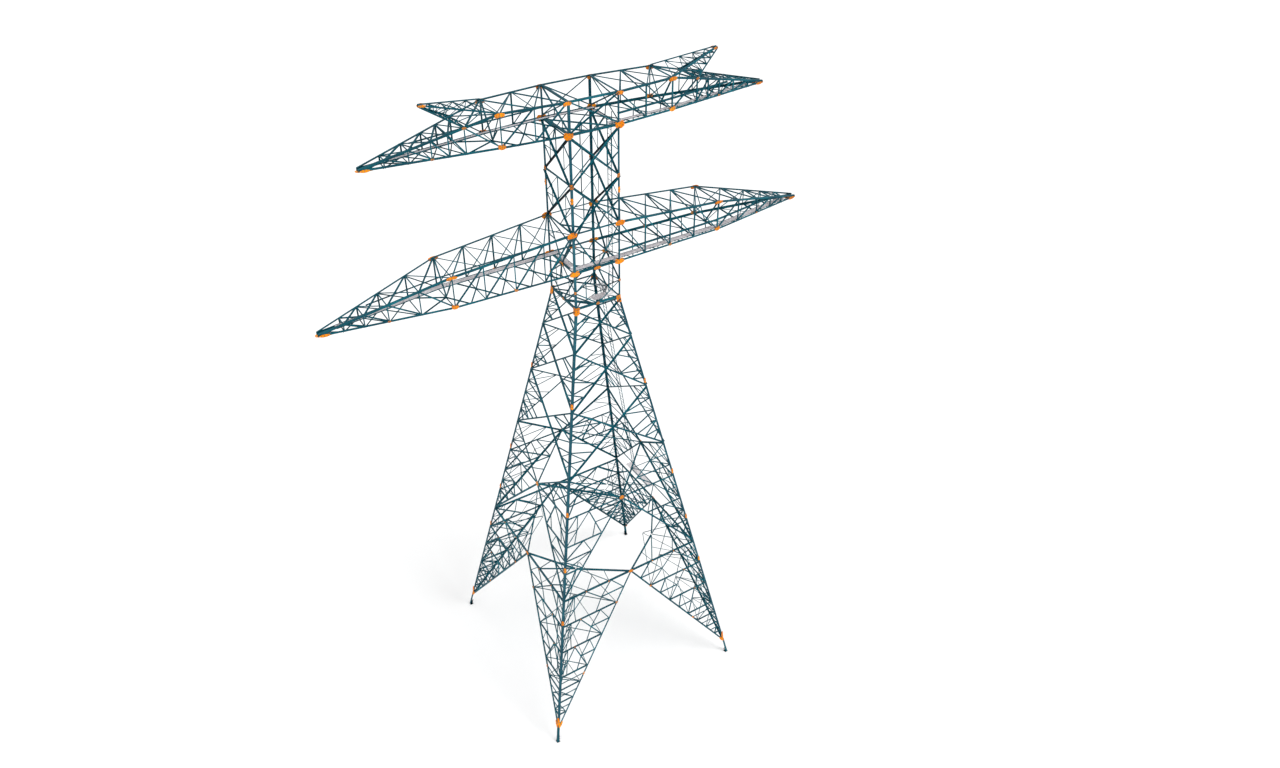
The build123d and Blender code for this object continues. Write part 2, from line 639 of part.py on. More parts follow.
def make_walkways():
    lower_end = LOWER_KNEE_X + (LOWER_TIP_X - LOWER_KNEE_X) * 0.86
    upper_end = UPPER_KNEE_X + (UPPER_TIP_X - UPPER_KNEE_X) * 0.83
    write(walkway(lower_arm, lower_end, -1), "lower_walkway")
    write(walkway(upper_arm, upper_end, 1), "upper_walkway")


def make_platforms():
    plane = side_plane(LEG_T + BAR_T)
    z = K_TIERS[1]
    reach = brace_x(z) - MAIN_B
    bearer = extrude(plane * bar(on_side(reach, z), on_side(-reach, z), WEB_B), amount=ARM_T,
                     dir=plane.z_dir)
    top = z + WEB_B / 2 - LEG_T - BAR_T
    face = half(top) - (LEG_T + BAR_T) / cos(TAPER) - 4.0
    mid = (PLATFORM_Y[0] + PLATFORM_Y[1]) / 2
    deck = Pos(mid, -face + WALK_W / 2, top) * Box(PLATFORM_Y[1] - PLATFORM_Y[0], WALK_W, WALK_T)
    write(turned(bearer + deck, 1), "rest_platform")
    inside = CAGE_HALF - CAGE_LEG_T - BAR_T - FIT
    level_z = WAIST_Z + MAIN_B / 2 + ARM_T / 2
    strip = Pos(inside - WALK_W / 2, WAIST_STRIP_Y) * Rectangle(WALK_W, WAIST_STRIP_L)
    patch = (Pos(inside - WALK_W - WAIST_PATCH_L / 2 + 1, WAIST_PATCH_Y)
             * Rectangle(WAIST_PATCH_L + 2, WALK_W))
    write(extrude(Pos(0, 0, level_z) * (strip + patch), amount=WALK_T), "waist_platform")


def make_ladders():
    plane = side_plane(LEG_T + BAR_T)
    low = K_TIERS[1] + WEB_B / 2 + WALK_T
    high = WAIST_Z - 10.0
    body = ladder_grid(plane, on_side(-LADDER_FOOT_Y, low), on_side(-LADDER_HEAD_Y, high))
    cage = Plane(origin=(0, -CAGE_HALF + CAGE_LEG_T + BAR_T, 0), x_dir=(-1, 0, 0), z_dir=(0, 1, 0))
    waist_top = WAIST_Z + MAIN_B / 2 + ARM_T / 2 + WALK_T
    cage_top = UPPER_Z - CHORD_B - WALK_T
    upper = ladder_grid(cage, (-CAGE_LADDER_Y, waist_top), (-CAGE_LADDER_Y, cage_top))
    write(turned(body, 1), "body_ladder")
    write(turned(upper, 1), "cage_ladder")


# ---- plates ---------------------------------------------------------------------------------

def leg_cover(z0, z1, width, lean):
    """Angle-shaped plate around a leg's heel on the south-west corner."""
    x, t = (half(z0) if lean else CAGE_HALF) + COVER_GAP, PLATE_T
    thick = t / cos(lean)
    section = outline((-x - thick, -x - thick, z0), (-x + width, -x - thick, z0),
                      (-x + width, -x, z0), (-x, -x, z0), (-x, -x + width, z0),
                      (-x - thick, -x + width, z0))
    rise = z1 - z0
    run = rise * tan(lean)
    return Part(Solid.extrude(section.face(), Vector(run, run, rise)).wrapped)


COVER_GAP = 0.1         # paint between the corner plates and the leg
SPLICE_LIFT = 190.0     # leg splices sit this far above a bracing node
SPLICE_L = 300.0
CAGE_SPLICE_DROP = 425.0
CAGE_SPLICE_L = 240.0
CORNER_PLATE_B = 1.9 * LEG_B     # width of the corner plates at the feet and the waist


def make_leg_plates():
    pieces = []
    for node in (TIERS[1], K_TIERS[1], CROSS_Z, PANEL_Z[1]):
        z = node + SPLICE_LIFT
        pieces.append(leg_cover(z - SPLICE_L / 2, z + SPLICE_L / 2, LEG_B, TAPER))
    z = CAGE_MID_Z - CAGE_SPLICE_DROP
    pieces.append(leg_cover(z - CAGE_SPLICE_L / 2, z + CAGE_SPLICE_L / 2, CAGE_LEG_B, 0.0))
    foot = leg_cover(FOOT_Z - 160.0, FOOT_Z + 260.0, CORNER_PLATE_B, TAPER)
    waist = leg_cover(WAIST_Z - 260.0, WAIST_Z, CORNER_PLATE_B, TAPER)
    waist += leg_cover(WAIST_Z, WAIST_Z + 190.0, CORNER_PLATE_B, 0.0)
    write(Compound(children=[turned(p, k) for p in pieces for k in range(4)]), "leg_splices")
    write(Compound(children=[turned(foot, k) for k in range(4)]), "foot_gussets")
    write(Compound(children=[turned(waist, k) for k in range(4)]), "waist_gussets")


def make_side_plates():
    """Plates on the outer face of the sloping sides where their members meet."""
    plane = side_plane(LEG_T - PLATE_T)
    spots = [(0.0, CROSS_Z, 240, 150), (0.0, PORTAL_Z, 260, 150)]
    for z in (TIERS[1], TIERS[3]):
        spots += [(chord_x(z), z, 150, 130), (-chord_x(z), z, 150, 130)]
    plates = []
    for a, z, width, height in spots:
        at = on_side(a, z)
        plates.append(extrude(plane * Pos(*at) * Rectangle(width, height), amount=PLATE_T,
                              dir=plane.z_dir))
    write(Compound(children=[turned(p, k) for p in plates for k in range(4)]), "side_gussets")


def bent_plate(arm, x0, x1, z0, z1):
    """Plate on the outer face of the south side of the east arm, bent where the side bends."""
    bends = [x for x in (CAGE_HALF, arm.knee[0]) if x0 < x < x1]
    line = [(x, -max(arm.width(x), 0) if x >= CAGE_HALF else -CAGE_HALF)
            for x in [x0] + bends + [x1]]
    face = outline(*(line + [(x, y - PLATE_T) for x, y in reversed(line)]))
    return extrude(Pos(0, 0, z0) * face, amount=z1 - z0)


def make_arm_plates():
    joints, knees = [], []
    for arm in (lower_arm, upper_arm):
        top = arm.tops[0][1]
        for z0, z1 in ((arm.z - 60, arm.z + 130), (top - 130, top + (60 if arm is lower_arm else 0))):
            joints.append(bent_plate(arm, CAGE_HALF - 120, CAGE_HALF + 150, z0, z1))
        knee_x, knee_top = arm.knee[0], arm.tops[1][1]
        knees.append(bent_plate(arm, knee_x - 130, knee_x + 130, arm.z - 10, arm.z + 90))
        knees.append(bent_plate(arm, knee_x - 130, knee_x + 130, knee_top - 110, knee_top - 20))
        for x in (arm.inner[len(arm.inner) // 2], arm.outer[2 if arm is upper_arm else 1]):
            knees.append(bent_plate(arm, x - 80, x + 80, arm.z - 5, arm.z + 75))
    for name, plates in (("arm_joint_gussets", joints), ("arm_gussets", knees)):
        both = [turned(s, k) for p in plates for s in (p, mirror(p, about=Plane.XZ)) for k in (0, 2)]
        write(Compound(children=both), name)


TIP_L = 330.0
TIP_OUT = 60.0          # tip plates reach this far past the chords
TIP_END = 40.0          # half width of a tip plate's end, and the hole's distance from it


def make_tip_plates():
    """Flat plates under the crossarm ends, which reach past the chords to the shackle hole."""
    for arm in (lower_arm, upper_arm):
        x0, x1 = arm.tip[0] - TIP_L, arm.tip[0] + TIP_OUT
        y0, y1 = arm.width(x0), arm.width(arm.tip[0])
        plan = outline((x0, -y0), (arm.tip[0], -y1), (x1, -TIP_END), (x1, TIP_END),
                       (arm.tip[0], y1), (x0, y0))
        plate = extrude(Pos(0, 0, arm.z - PLATE_T) * plan, amount=PLATE_T)
        hole = Pos(x1 - TIP_END, 0, arm.z - PLATE_T / 2) * Cylinder(SHACKLE_R, 3 * PLATE_T)
        piece = plate - hole
        write(Compound(children=[piece, turned(piece, 2)]), f"{arm.name}_arm_tips")


if __name__ == "__main__":
    make_legs()
    make_body()
    make_inner_frames()
    make_level_frames()
    make_cage()
    lower_arm.make()
    upper_arm.make()
    make_horns()
    make_walkways()
    make_platforms()
    make_ladders()
    make_leg_plates()
    make_side_plates()
    make_arm_plates()
    make_tip_plates()
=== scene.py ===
# %% [markdown]
# # A lattice transmission pylon, half size
# The tower is rolled steel angles bolted together: four legs, four sloping sides, a straight cage
# with two crossarms and two small horns, with orange gusset plates where the bars meet.
# The construction model gives the levels and the ends of the arms, so every bar that is drawn
# here lands on the steel that carries it.

# %% Load the frame
import bpy
import json
import random
import numpy as np
from itertools import pairwise
from math import pi, radians, sin, cos
from mathutils import Matrix, Vector


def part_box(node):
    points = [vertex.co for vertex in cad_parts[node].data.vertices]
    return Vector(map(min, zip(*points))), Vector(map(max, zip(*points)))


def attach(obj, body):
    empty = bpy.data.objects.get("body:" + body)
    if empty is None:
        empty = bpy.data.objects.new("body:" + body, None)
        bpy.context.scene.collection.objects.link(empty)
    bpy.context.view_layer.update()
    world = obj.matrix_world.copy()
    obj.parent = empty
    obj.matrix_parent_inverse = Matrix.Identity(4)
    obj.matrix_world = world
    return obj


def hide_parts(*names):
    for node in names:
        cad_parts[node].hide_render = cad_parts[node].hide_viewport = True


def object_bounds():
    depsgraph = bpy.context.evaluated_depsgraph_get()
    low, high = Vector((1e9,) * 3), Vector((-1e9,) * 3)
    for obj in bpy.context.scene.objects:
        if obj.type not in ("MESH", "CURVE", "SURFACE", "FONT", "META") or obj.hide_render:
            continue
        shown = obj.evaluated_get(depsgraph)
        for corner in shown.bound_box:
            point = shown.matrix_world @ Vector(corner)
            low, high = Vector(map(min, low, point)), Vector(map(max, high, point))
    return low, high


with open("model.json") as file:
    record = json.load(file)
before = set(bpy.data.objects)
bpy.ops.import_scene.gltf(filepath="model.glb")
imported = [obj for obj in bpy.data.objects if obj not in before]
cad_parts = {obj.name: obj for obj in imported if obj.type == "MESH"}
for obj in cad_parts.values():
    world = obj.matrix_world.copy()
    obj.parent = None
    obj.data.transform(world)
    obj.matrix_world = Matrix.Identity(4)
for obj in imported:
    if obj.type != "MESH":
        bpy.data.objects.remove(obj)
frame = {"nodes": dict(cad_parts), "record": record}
cad_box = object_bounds()
print("construction box", cad_box)

# %% [markdown]
# A tower is set out from a few levels. They are read from the plates, frames and legs of the
# construction model. The sloping sides lean by the same amount, so one function gives the half
# width between the leg heels at any height.

# %% Levels of the tower
def low(node):
    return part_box(node)[0]


def high(node):
    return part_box(node)[1]


def middle_z(node):
    return (low(node).z + high(node).z) / 2


LEG_PLATE = 0.009
PLATE = 0.008
FOOT_PLATE_DROP = 0.16
CAGE_MID_SHARE = 0.4991
foot_mount = next(m for m in frame["record"]["mounts"] if m["name"] == "foot_south_west")
GROUND_HALF = -foot_mount["pos_m"][1] + LEG_PLATE / 2
CAGE_HALF = -low("cage_leg_south_west").x
FOOT_Z = low("foot_gussets").z + FOOT_PLATE_DROP
PORTAL_Z = middle_z("portal_frame")
CROSS_Z = middle_z("cross_frame")
WAIST_Z = low("cage_leg_south_west").z
LOWER_Z = low("lower_arm_frame").z
LOWER_TOP_Z = high("lower_arm_top_frame").z
UPPER_Z = low("upper_arm_frame").z
UPPER_TOP_Z = high("cage_leg_south_west").z
HORN_Z = cad_box[1].z
CAGE_NODE_Z = (WAIST_Z + LOWER_Z) / 2
CAGE_MID_Z = LOWER_TOP_Z + CAGE_MID_SHARE * (UPPER_Z - LOWER_TOP_Z)
PANEL_SHARES = (0.2025, 0.5365, 0.8085)
PANEL_Z = [CROSS_Z + share * (WAIST_Z - CROSS_Z) for share in PANEL_SHARES]
LEAN = (GROUND_HALF - CAGE_HALF) / WAIST_Z


def half(z):
    """Half the distance between the leg heels at height z."""
    return CAGE_HALF + max(WAIST_Z - z, 0.0) * LEAN


print("levels", [round(z, 3) for z in (FOOT_Z, PORTAL_Z, CROSS_Z, *PANEL_Z, WAIST_Z, LOWER_Z,
                                       LOWER_TOP_Z, CAGE_MID_Z, UPPER_Z, UPPER_TOP_Z, HORN_Z)])

# %% [markdown]
# ## The rolled angle
# Nearly every bar is a rolled angle: two flanges at right angles, with a fillet in the root and
# rounded toes. One angle is modelled a metre long, with flanges a metre wide. Its heel starts as
# a thin block, and each flange is pulled out of one of the block's faces. Every bar of the tower
# is then a copy of it, stretched to its own length and width.

# %% Helpers for edit mode
import bmesh


def deselect():
    bpy.ops.object.select_all(action="DESELECT")


def choose(piece, kind, wanted):
    """Leaves only the faces or edges that pass the test selected. The piece is in edit mode."""
    bpy.ops.mesh.select_mode(type="FACE" if kind == "faces" else "EDGE")
    bpy.ops.mesh.select_all(action="DESELECT")
    shape = bmesh.from_edit_mesh(piece.data)
    for part in getattr(shape, kind):
        part.select_set(bool(wanted(part)))
    bmesh.update_edit_mesh(piece.data)


def edge_middle(edge):
    return (edge.verts[0].co + edge.verts[1].co) / 2

# %% Rolled angle
ROOT = 0.11


def rolled_angle():
    """An angle along +Z from its heel at the origin, with its flanges along +X and +Y."""
    deselect()
    bpy.ops.mesh.primitive_cube_add(size=1, location=(ROOT / 2, ROOT / 2, 0.5),
                                    scale=(ROOT, ROOT, 1))
    angle = bpy.context.object
    bpy.ops.object.transform_apply(location=True, rotation=False, scale=True)
    bpy.ops.object.mode_set(mode="EDIT")
    for axis, pull in ((0, (1 - ROOT, 0, 0)), (1, (0, 1 - ROOT, 0))):
        choose(angle, "faces", lambda f: f.normal[axis] > 0.9
               and f.calc_center_median()[1 - axis] < ROOT)
        bpy.ops.mesh.extrude_region_move(TRANSFORM_OT_translate={"value": pull})
    for x, y, size in ((ROOT, ROOT, 0.09), (1, ROOT, 0.06), (ROOT, 1, 0.06)):
        choose(angle, "edges", lambda e: (edge_middle(e) - Vector((x, y, 0.5))).length < 0.01)
        bpy.ops.mesh.bevel(offset=size, segments=1)
    bpy.ops.object.mode_set(mode="OBJECT")
    return angle


angle_pattern = rolled_angle()
print("rolled angle:", len(angle_pattern.data.polygons), "faces")

# %% [markdown]
# ## Bolts
# Each bar end has one to three hexagon bolts. A bolt is a six-sided bar as long as head, steel
# and nut together. Its nut end gets a smaller thread end, by an inset and an extrude.

# %% Bolt
BOLT_R = 0.0095
BOLT_L = 0.030


def hexagon_bolt():
    deselect()
    bpy.ops.mesh.primitive_cylinder_add(vertices=6, radius=BOLT_R, depth=BOLT_L)
    bolt = bpy.context.object
    bpy.ops.object.mode_set(mode="EDIT")
    choose(bolt, "faces", lambda f: f.normal.z < -0.9)
    bpy.ops.mesh.inset(thickness=0.004)
    bpy.ops.mesh.extrude_region_move(TRANSFORM_OT_translate={"value": (0, 0, -0.005)})
    bpy.ops.object.mode_set(mode="OBJECT")
    return bolt


bolt_pattern = hexagon_bolt()
print("bolt:", len(bolt_pattern.data.polygons), "faces")

# %% [markdown]
# ## Laying a bar
# A bar needs two ends, a width, and the way its lattice side faces. One flange lies flat in the
# side and the other stands in towards the tower, or out from it. Where two diagonals cross, one
# lies inside the leg flange and the other outside, so they pass each other without a notch.

# %% Steelwork
random.seed(7)
BOLT_END = 0.022
BOLT_STEP = 0.036
BOLT_LIFT = 0.002


def turned(places, quarter):
    """The same places, turned by quarters round the tower's axis."""
    turn = Matrix.Rotation(quarter * pi / 2, 4, "Z")
    return [turn @ place for place in places]


class Steelwork:
    """The bars and bolts of one lattice, kept as places for the two patterns."""

    def __init__(self, bars=(), bolts=()):
        self.bars = list(bars)
        self.bolts = list(bolts)

    def bar(self, start, end, width, facing, depth=0.0, out=False, heel_low=False, bolts=1,
            trim=0.0):
        """depth is how far the flat flange lies behind the face. trim shortens both ends."""
        along = (end - start).normalized()
        start, end = start + along * trim, end - along * trim
        across = facing.cross(along).normalized()
        if across.z < -0.001:
            across = -across
        flat = across if heel_low else -across
        stand = facing if out else -facing
        run = flat.cross(stand)
        foot = start if run.dot(along) > 0 else end
        foot = foot - flat * width / 2 - facing * depth
        length = (end - start).length
        self.bars.append(columns(flat * width, stand * width, run * length, foot))
        for k in range(bolts):
            step = BOLT_END + BOLT_STEP * k
            for place in (start + along * step, end - along * step):
                middle = place - facing * (depth - BOLT_LIFT * (2 if out else 1))
                self.bolts.append(columns(across, along, facing, middle))

    def copy_turned(self, quarter):
        return Steelwork(turned(self.bars, quarter), turned(self.bolts, quarter))


def merged(*works):
    return Steelwork([bar for work in works for bar in work.bars],
                     [bolt for work in works for bolt in work.bolts])


def all_round(work):
    """The same steel on all four sides of the tower."""
    return merged(*(work.copy_turned(k) for k in range(4)))


def columns(x, y, z, origin):
    """The placing matrix whose axes are the three vectors."""
    return Matrix((x, y, z)).transposed().to_4x4() + shift(origin)


def shift(origin):
    place = Matrix.Diagonal((0, 0, 0, 0))
    for row in range(3):
        place[row][3] = origin[row]
    return place

# %% Stamping a pattern
def stamped(name, pattern, places, paint):
    """One piece that holds a copy of the pattern at each place, with a tone for each copy."""
    corners = np.array([v.co for v in pattern.data.vertices])
    faces = [list(p.vertices) for p in pattern.data.polygons]
    points = np.vstack([corners @ np.array(m)[:3, :3].T + np.array(m)[:3, 3] for m in places])
    count = len(corners)
    loops = [[v + k * count for v in face] for k in range(len(places)) for face in faces]
    mesh = bpy.data.meshes.new(name)
    mesh.from_pydata(points.tolist(), [], loops)
    tone = mesh.attributes.new("tone", "FLOAT", "POINT")
    tones = np.repeat([random.random() for _ in places], count)
    tone.data.foreach_set("value", tones)
    piece = bpy.data.objects.new(name, mesh)
    bpy.context.scene.collection.objects.link(piece)
    mesh.materials.append(paint)
    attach(piece, "root")
    return piece


def raise_steel(name, work, replaced=(), paint=None):
    """Makes the bars and the bolts of a lattice, in place of its construction nodes."""
    bars = stamped(name, angle_pattern, work.bars, paint or tower_paint)
    if replaced:
        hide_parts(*replaced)
    if work.bolts:
        stamped(name + "_bolts", bolt_pattern, work.bolts, bolt_zinc)
    print(name, len(work.bars), "bars", len(work.bolts), "bolts")
    return bars

# %% [markdown]
# ## Finishes
# The bars carry a blue-green paint that has weathered. It differs a little from bar to bar, is
# darkened where it faces the sky as painted shade, is streaked by rain, and has specks where the
# zinc shows through.
# Noise on the piece's own coordinates makes all of that, so no picture is needed. One function
# makes every finish, from four colours: the paints, the bolts' zinc and the bare gratings.

# %% Node helpers
class Nodes:
    """The shader nodes of a finish or of the world, with short ways to add and join them."""

    def __init__(self, owner):
        owner.use_nodes = True
        self.nodes = owner.node_tree.nodes
        self.links = owner.node_tree.links

    def new(self, kind):
        return self.nodes.new("ShaderNode" + kind)

    def wire(self, value, socket):
        """Joins a socket to another one, or sets it to a number or a colour."""
        if isinstance(value, bpy.types.NodeSocket):
            self.links.new(value, socket)
        elif isinstance(value, tuple):
            socket.default_value = (*value, 1)
        else:
            socket.default_value = value

    def noise(self, place, scale, detail=4.0, stretch=None):
        """A noise on the piece's own coordinates. stretch squeezes it along the axes."""
        pattern = self.new("TexNoise")
        pattern.inputs["Scale"].default_value = scale
        pattern.inputs["Detail"].default_value = detail
        source = place
        if stretch:
            mapping = self.new("Mapping")
            mapping.inputs["Scale"].default_value = stretch
            self.wire(place, mapping.inputs["Vector"])
            source = mapping.outputs["Vector"]
        self.wire(source, pattern.inputs["Vector"])
        return pattern.outputs["Fac"]

    def ramp(self, value, stops):
        """A colour ramp with the given (place, colour) stops."""
        made = self.new("ValToRGB")
        while len(made.color_ramp.elements) < len(stops):
            made.color_ramp.elements.new(0.5)
        for element, (place, colour) in zip(made.color_ramp.elements, stops):
            element.position = place
            element.color = (*colour, 1)
        self.wire(value, made.inputs["Fac"])
        return made.outputs["Color"]

    def mixed(self, share, first, second, blend="MIX"):
        mix = self.new("Mix")
        mix.data_type = "RGBA"
        mix.blend_type = blend
        for value, socket in zip((share, first, second), (0, 6, 7)):
            self.wire(value, mix.inputs[socket])
        return mix.outputs[2]

    def maths(self, operation, *values):
        step = self.new("Math")
        step.operation = operation
        for value, socket in zip(values, step.inputs):
            self.wire(value, socket)
        return step.outputs[0]

    def bumped(self, height, distance, strength=0.6):
        bump = self.new("Bump")
        bump.inputs["Distance"].default_value = distance
        bump.inputs["Strength"].default_value = strength
        self.wire(height, bump.inputs["Height"])
        return bump.outputs["Normal"]

# %% Tower paint
def srgb(red, green, blue):
    """A colour given in 0 to 255 steps, as the linear values that a shader takes."""
    return tuple(((c / 255 + 0.055) / 1.055) ** 2.4 for c in (red, green, blue))


def weathered_paint(name, deep, middle, pale, bare, lowest_tone=0.84, shine=0.12, top=None):
    """Three tones in patches. bare shows through in specks. top is painted shade on sky-facing
    faces; left out, they fade to pale.
    """
    finish = bpy.data.materials.new(name)
    made = Nodes(finish)
    skin = made.nodes["Principled BSDF"]
    place = made.new("TexCoord").outputs["Object"]
    patches = made.noise(place, 1.7, 3.0)
    colour = made.ramp(patches, [(0.3, deep), (0.55, middle), (0.75, pale)])
    tone = made.new("Attribute")
    tone.attribute_name = "tone"
    lift = made.maths("MULTIPLY_ADD", tone.outputs["Fac"], 0.3, lowest_tone)
    colour = made.mixed(1.0, colour, lift, "MULTIPLY")
    streaks = made.noise(place, 1.0, 5.0, (55.0, 55.0, 2.5))
    rain = made.ramp(streaks, [(0.35, (0.72, 0.75, 0.76)), (0.6, (1.0, 1.0, 1.0))])
    colour = made.mixed(0.8, colour, rain, "MULTIPLY")
    # Faces that look up are mixed towards top in patches. With a darker top this is painted shade
    # against the sky's light; with the default pale it is a faded top.
    up = made.new("SeparateXYZ")
    made.wire(made.new("NewGeometry").outputs["Normal"], up.inputs[0])
    sky = made.maths("MULTIPLY", made.maths("MAXIMUM", up.outputs["Z"], 0.0),
                     made.noise(place, 9.0, 3.0))
    colour = made.mixed(made.maths("MULTIPLY", sky, 0.9), colour, top or pale)
    specks = made.noise(place, 190.0, 2.0)
    chips = made.maths("GREATER_THAN", specks, 0.72)
    colour = made.mixed(made.maths("MULTIPLY", chips, 0.7), colour, bare)
    made.wire(colour, skin.inputs["Base Color"])
    skin.inputs["Specular IOR Level"].default_value = shine
    rough = made.maths("MULTIPLY_ADD", made.noise(place, 25.0), 0.3, 0.34)
    made.wire(rough, skin.inputs["Roughness"])
    grain = made.noise(place, 320.0, 3.0)
    height = made.maths("MULTIPLY_ADD", chips, -0.6, grain)
    made.wire(made.bumped(height, 0.0006), skin.inputs["Normal"])
    return finish


# The top colours of the three teal paints are darker than their middle tones: painted shade on
# faces that look up at the sky.
tower_paint = weathered_paint("tower paint", srgb(4, 66, 80), srgb(4, 86, 100),
                              srgb(20, 116, 130), srgb(72, 134, 143), top=srgb(2, 71, 86))
leg_paint = weathered_paint("leg paint", srgb(8, 66, 82), srgb(22, 84, 100), srgb(52, 114, 128),
                            srgb(120, 144, 149), top=srgb(10, 70, 86))
# Near-black paint: the stub cleats' own dark paint, and painted shade on the heavy cage diagonals.
cleat_paint_and_painted_brace_shade = weathered_paint("dark brace paint", srgb(0, 14, 22), srgb(0, 26, 36),
                             srgb(6, 36, 46), srgb(30, 56, 66), shine=0.02, top=srgb(0, 12, 20))
bolt_zinc = weathered_paint("bolt zinc", srgb(40, 84, 96), srgb(62, 104, 114),
                            srgb(104, 134, 141), srgb(150, 155, 157))
plate_paint = weathered_paint("orange plate paint", srgb(218, 117, 0), srgb(238, 138, 0),
                              srgb(247, 153, 0), srgb(206, 142, 52), 0.98)
galvanized = weathered_paint("galvanized steel", srgb(186, 181, 184), srgb(209, 203, 206),
                             srgb(226, 221, 223), srgb(240, 238, 239), 0.95)
paints = (tower_paint, leg_paint, cleat_paint_and_painted_brace_shade, bolt_zinc, plate_paint, galvanized)
print("finishes:", ", ".join(paint.name for paint in paints))

# %% [markdown]
# ## Legs
# Each leg is one heavy angle with its heel on the tower's corner, leaning in up to the waist and
# standing upright through the cage. The angle is sheared along the lean, so that its flanges lie
# in the two sloping sides. Below the lowest node it runs on as a stub, with short dark cleats and
# a base block at its foot. A sheared copy of the one angle is simpler than a bar cut on the slope.

# %% Legs
LEG_B = 0.072
CAGE_LEG_B = 0.061
CORNERS = ("south_west", "south_east", "north_east", "north_west")
SIDES = ("south", "east", "north", "west")


def corner_leg(z0, z1, width):
    """The place of a leg angle on the south-west corner."""
    foot = Vector((-half(z0), -half(z0), z0))
    head = Vector((-half(z1), -half(z1), z1))
    return columns(Vector((width, 0, 0)), Vector((0, width, 0)), head - foot, foot)


def block(width, depth, height, x, y, z):
    return columns(Vector((width, 0, 0)), Vector((0, depth, 0)), Vector((0, 0, height)),
                   Vector((x, y, z)))


def flat_bar():
    """A flat bar along +X with two rounded long edges, centred on the origin."""
    deselect()
    bpy.ops.mesh.primitive_cube_add(size=1)
    bar = bpy.context.object
    bpy.ops.object.mode_set(mode="EDIT")
    choose(bar, "edges", lambda e: abs(edge_middle(e).x) < 0.01 and edge_middle(e).z > 0.4)
    bpy.ops.mesh.bevel(offset=0.12, segments=1)
    bpy.ops.object.mode_set(mode="OBJECT")
    return bar


flat_pattern = flat_bar()
STUB_Z = FOOT_Z - 0.12
CLEAT_Z = (0.120, 0.220)
CLEAT_L, CLEAT_T, CLEAT_H = 0.060, 0.030, 0.028
CLEAT_INSET = 0.024
CLEAT_DROP = 0.045
BASE_B, BASE_T = 0.115, 0.018
BASE_INSET, BASE_Z = 0.055, 0.010
for k, corner in enumerate(CORNERS):
    lower = corner_leg(STUB_Z, WAIST_Z, LEG_B)
    upper = corner_leg(WAIST_Z, UPPER_TOP_Z, CAGE_LEG_B)
    leg = stamped("leg_angle_" + corner, angle_pattern, turned([lower], k), leg_paint)
    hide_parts("leg_" + corner)
    stamped("leg_stub_" + corner, angle_pattern, turned([corner_leg(0.0, STUB_Z, LEG_B)], k),
            tower_paint)
    cage_leg = stamped("cage_leg_angle_" + corner, angle_pattern, turned([upper], k), leg_paint)
    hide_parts("cage_leg_" + corner)
    cleats = []
    for z in CLEAT_Z:
        x = half(z)
        cleats += [block(CLEAT_T, CLEAT_L, CLEAT_H, -x + CLEAT_INSET, -x + LEG_B, z - CLEAT_DROP),
                   block(CLEAT_L, CLEAT_T, CLEAT_H, -x + LEG_B, -x + CLEAT_INSET, z)]
    base = BASE_INSET - half(0.0)
    cleats.append(block(BASE_B, BASE_B, BASE_T, base, base, BASE_Z))
    stamped("stub_cleats_" + corner, flat_pattern, turned(cleats, k), cleat_paint_and_painted_brace_shade)
print("four legs with", len(CLEAT_Z), "rows of cleats each")

# %% [markdown]
# ## Sloping sides
# The four sides are alike. Each bar is given by two points of the south side: how far across, and
# how high. Points that lie on another bar are worked out from that bar, so that the lattice closes.
# Left and right halves mirror each other. The bars lie in layers, one in front of the other as they
# are bolted, so that nothing is notched. The layer follows from the bar's width: wide bars lie on
# the legs' flanges and fine ones just behind them. Where diagonals cross, the layer is named.

# %% Points and layers of a sloping side
SLOPE_OUT = Vector((0, -1, LEAN)).normalized()
MAIN_B = 0.058
BRACE_B = 0.050
WEB_B = 0.036
LIGHT_B = 0.031
FINE_B = 0.023
FINE_DEPTH = 0.006


def on_side(a, z):
    return Vector((a, -half(z), z))


def leg_at(z):
    return (-half(z), z)


def line_at(p, q, z):
    """The point of the line from p to q at height z."""
    share = (z - p[1]) / (q[1] - p[1])
    return (p[0] + (q[0] - p[0]) * share, z)


def between(p, q, share):
    return (p[0] + (q[0] - p[0]) * share, p[1] + (q[1] - p[1]) * share)


def both_hands(bars):
    return bars + [((-p[0], p[1]), (-q[0], q[1]), *rest) for p, q, *rest in bars]


def lay_side(work, bars, point, facing, behind, level_heels_low=False):
    """Lays bars in one side. The layer says where a bar lies and which way its flange stands."""
    for p, q, width, *given in bars:
        layer = given[0] if given else "face" if width > LIGHT_B else "fine"
        bolts = 3 if width >= MAIN_B else 2 if width >= WEB_B else 1
        trim = 0.012 if layer == "fine" else 0.03
        slope = (q[0] - p[0]) * (q[1] - p[1])
        level = layer == "face" and slope == 0
        out = layer == "outer" or layer == "crossed" and slope > 0
        heel_low = out or layer == "face" and slope != 0 or level and level_heels_low
        depth = 0.0 if out else behind + (FINE_DEPTH if layer == "fine" else 0.0)
        work.bar(point(*p), point(*q), width, facing, depth, out, heel_low, bolts, trim)


print("the sides lean in", round(LEAN, 4), "m for each metre up")

# %% Leg extensions
FOOT_SHARES = (0.798, 0.592, 0.386, 0.282, 0.177, 0.076)
CHORD_FOOT_Z = FOOT_Z - 0.20
TIER_B = 0.041
VEE_B = 0.042
PORTAL_B = 0.052
TIERS = [PORTAL_Z] + [FOOT_Z + (PORTAL_Z - FOOT_Z) * share for share in FOOT_SHARES]


def chord_at(z):
    """The inclined chord of the left leg extension at height z."""
    return (-half(CHORD_FOOT_Z) * (PORTAL_Z - z) / (PORTAL_Z - CHORD_FOOT_Z), z)


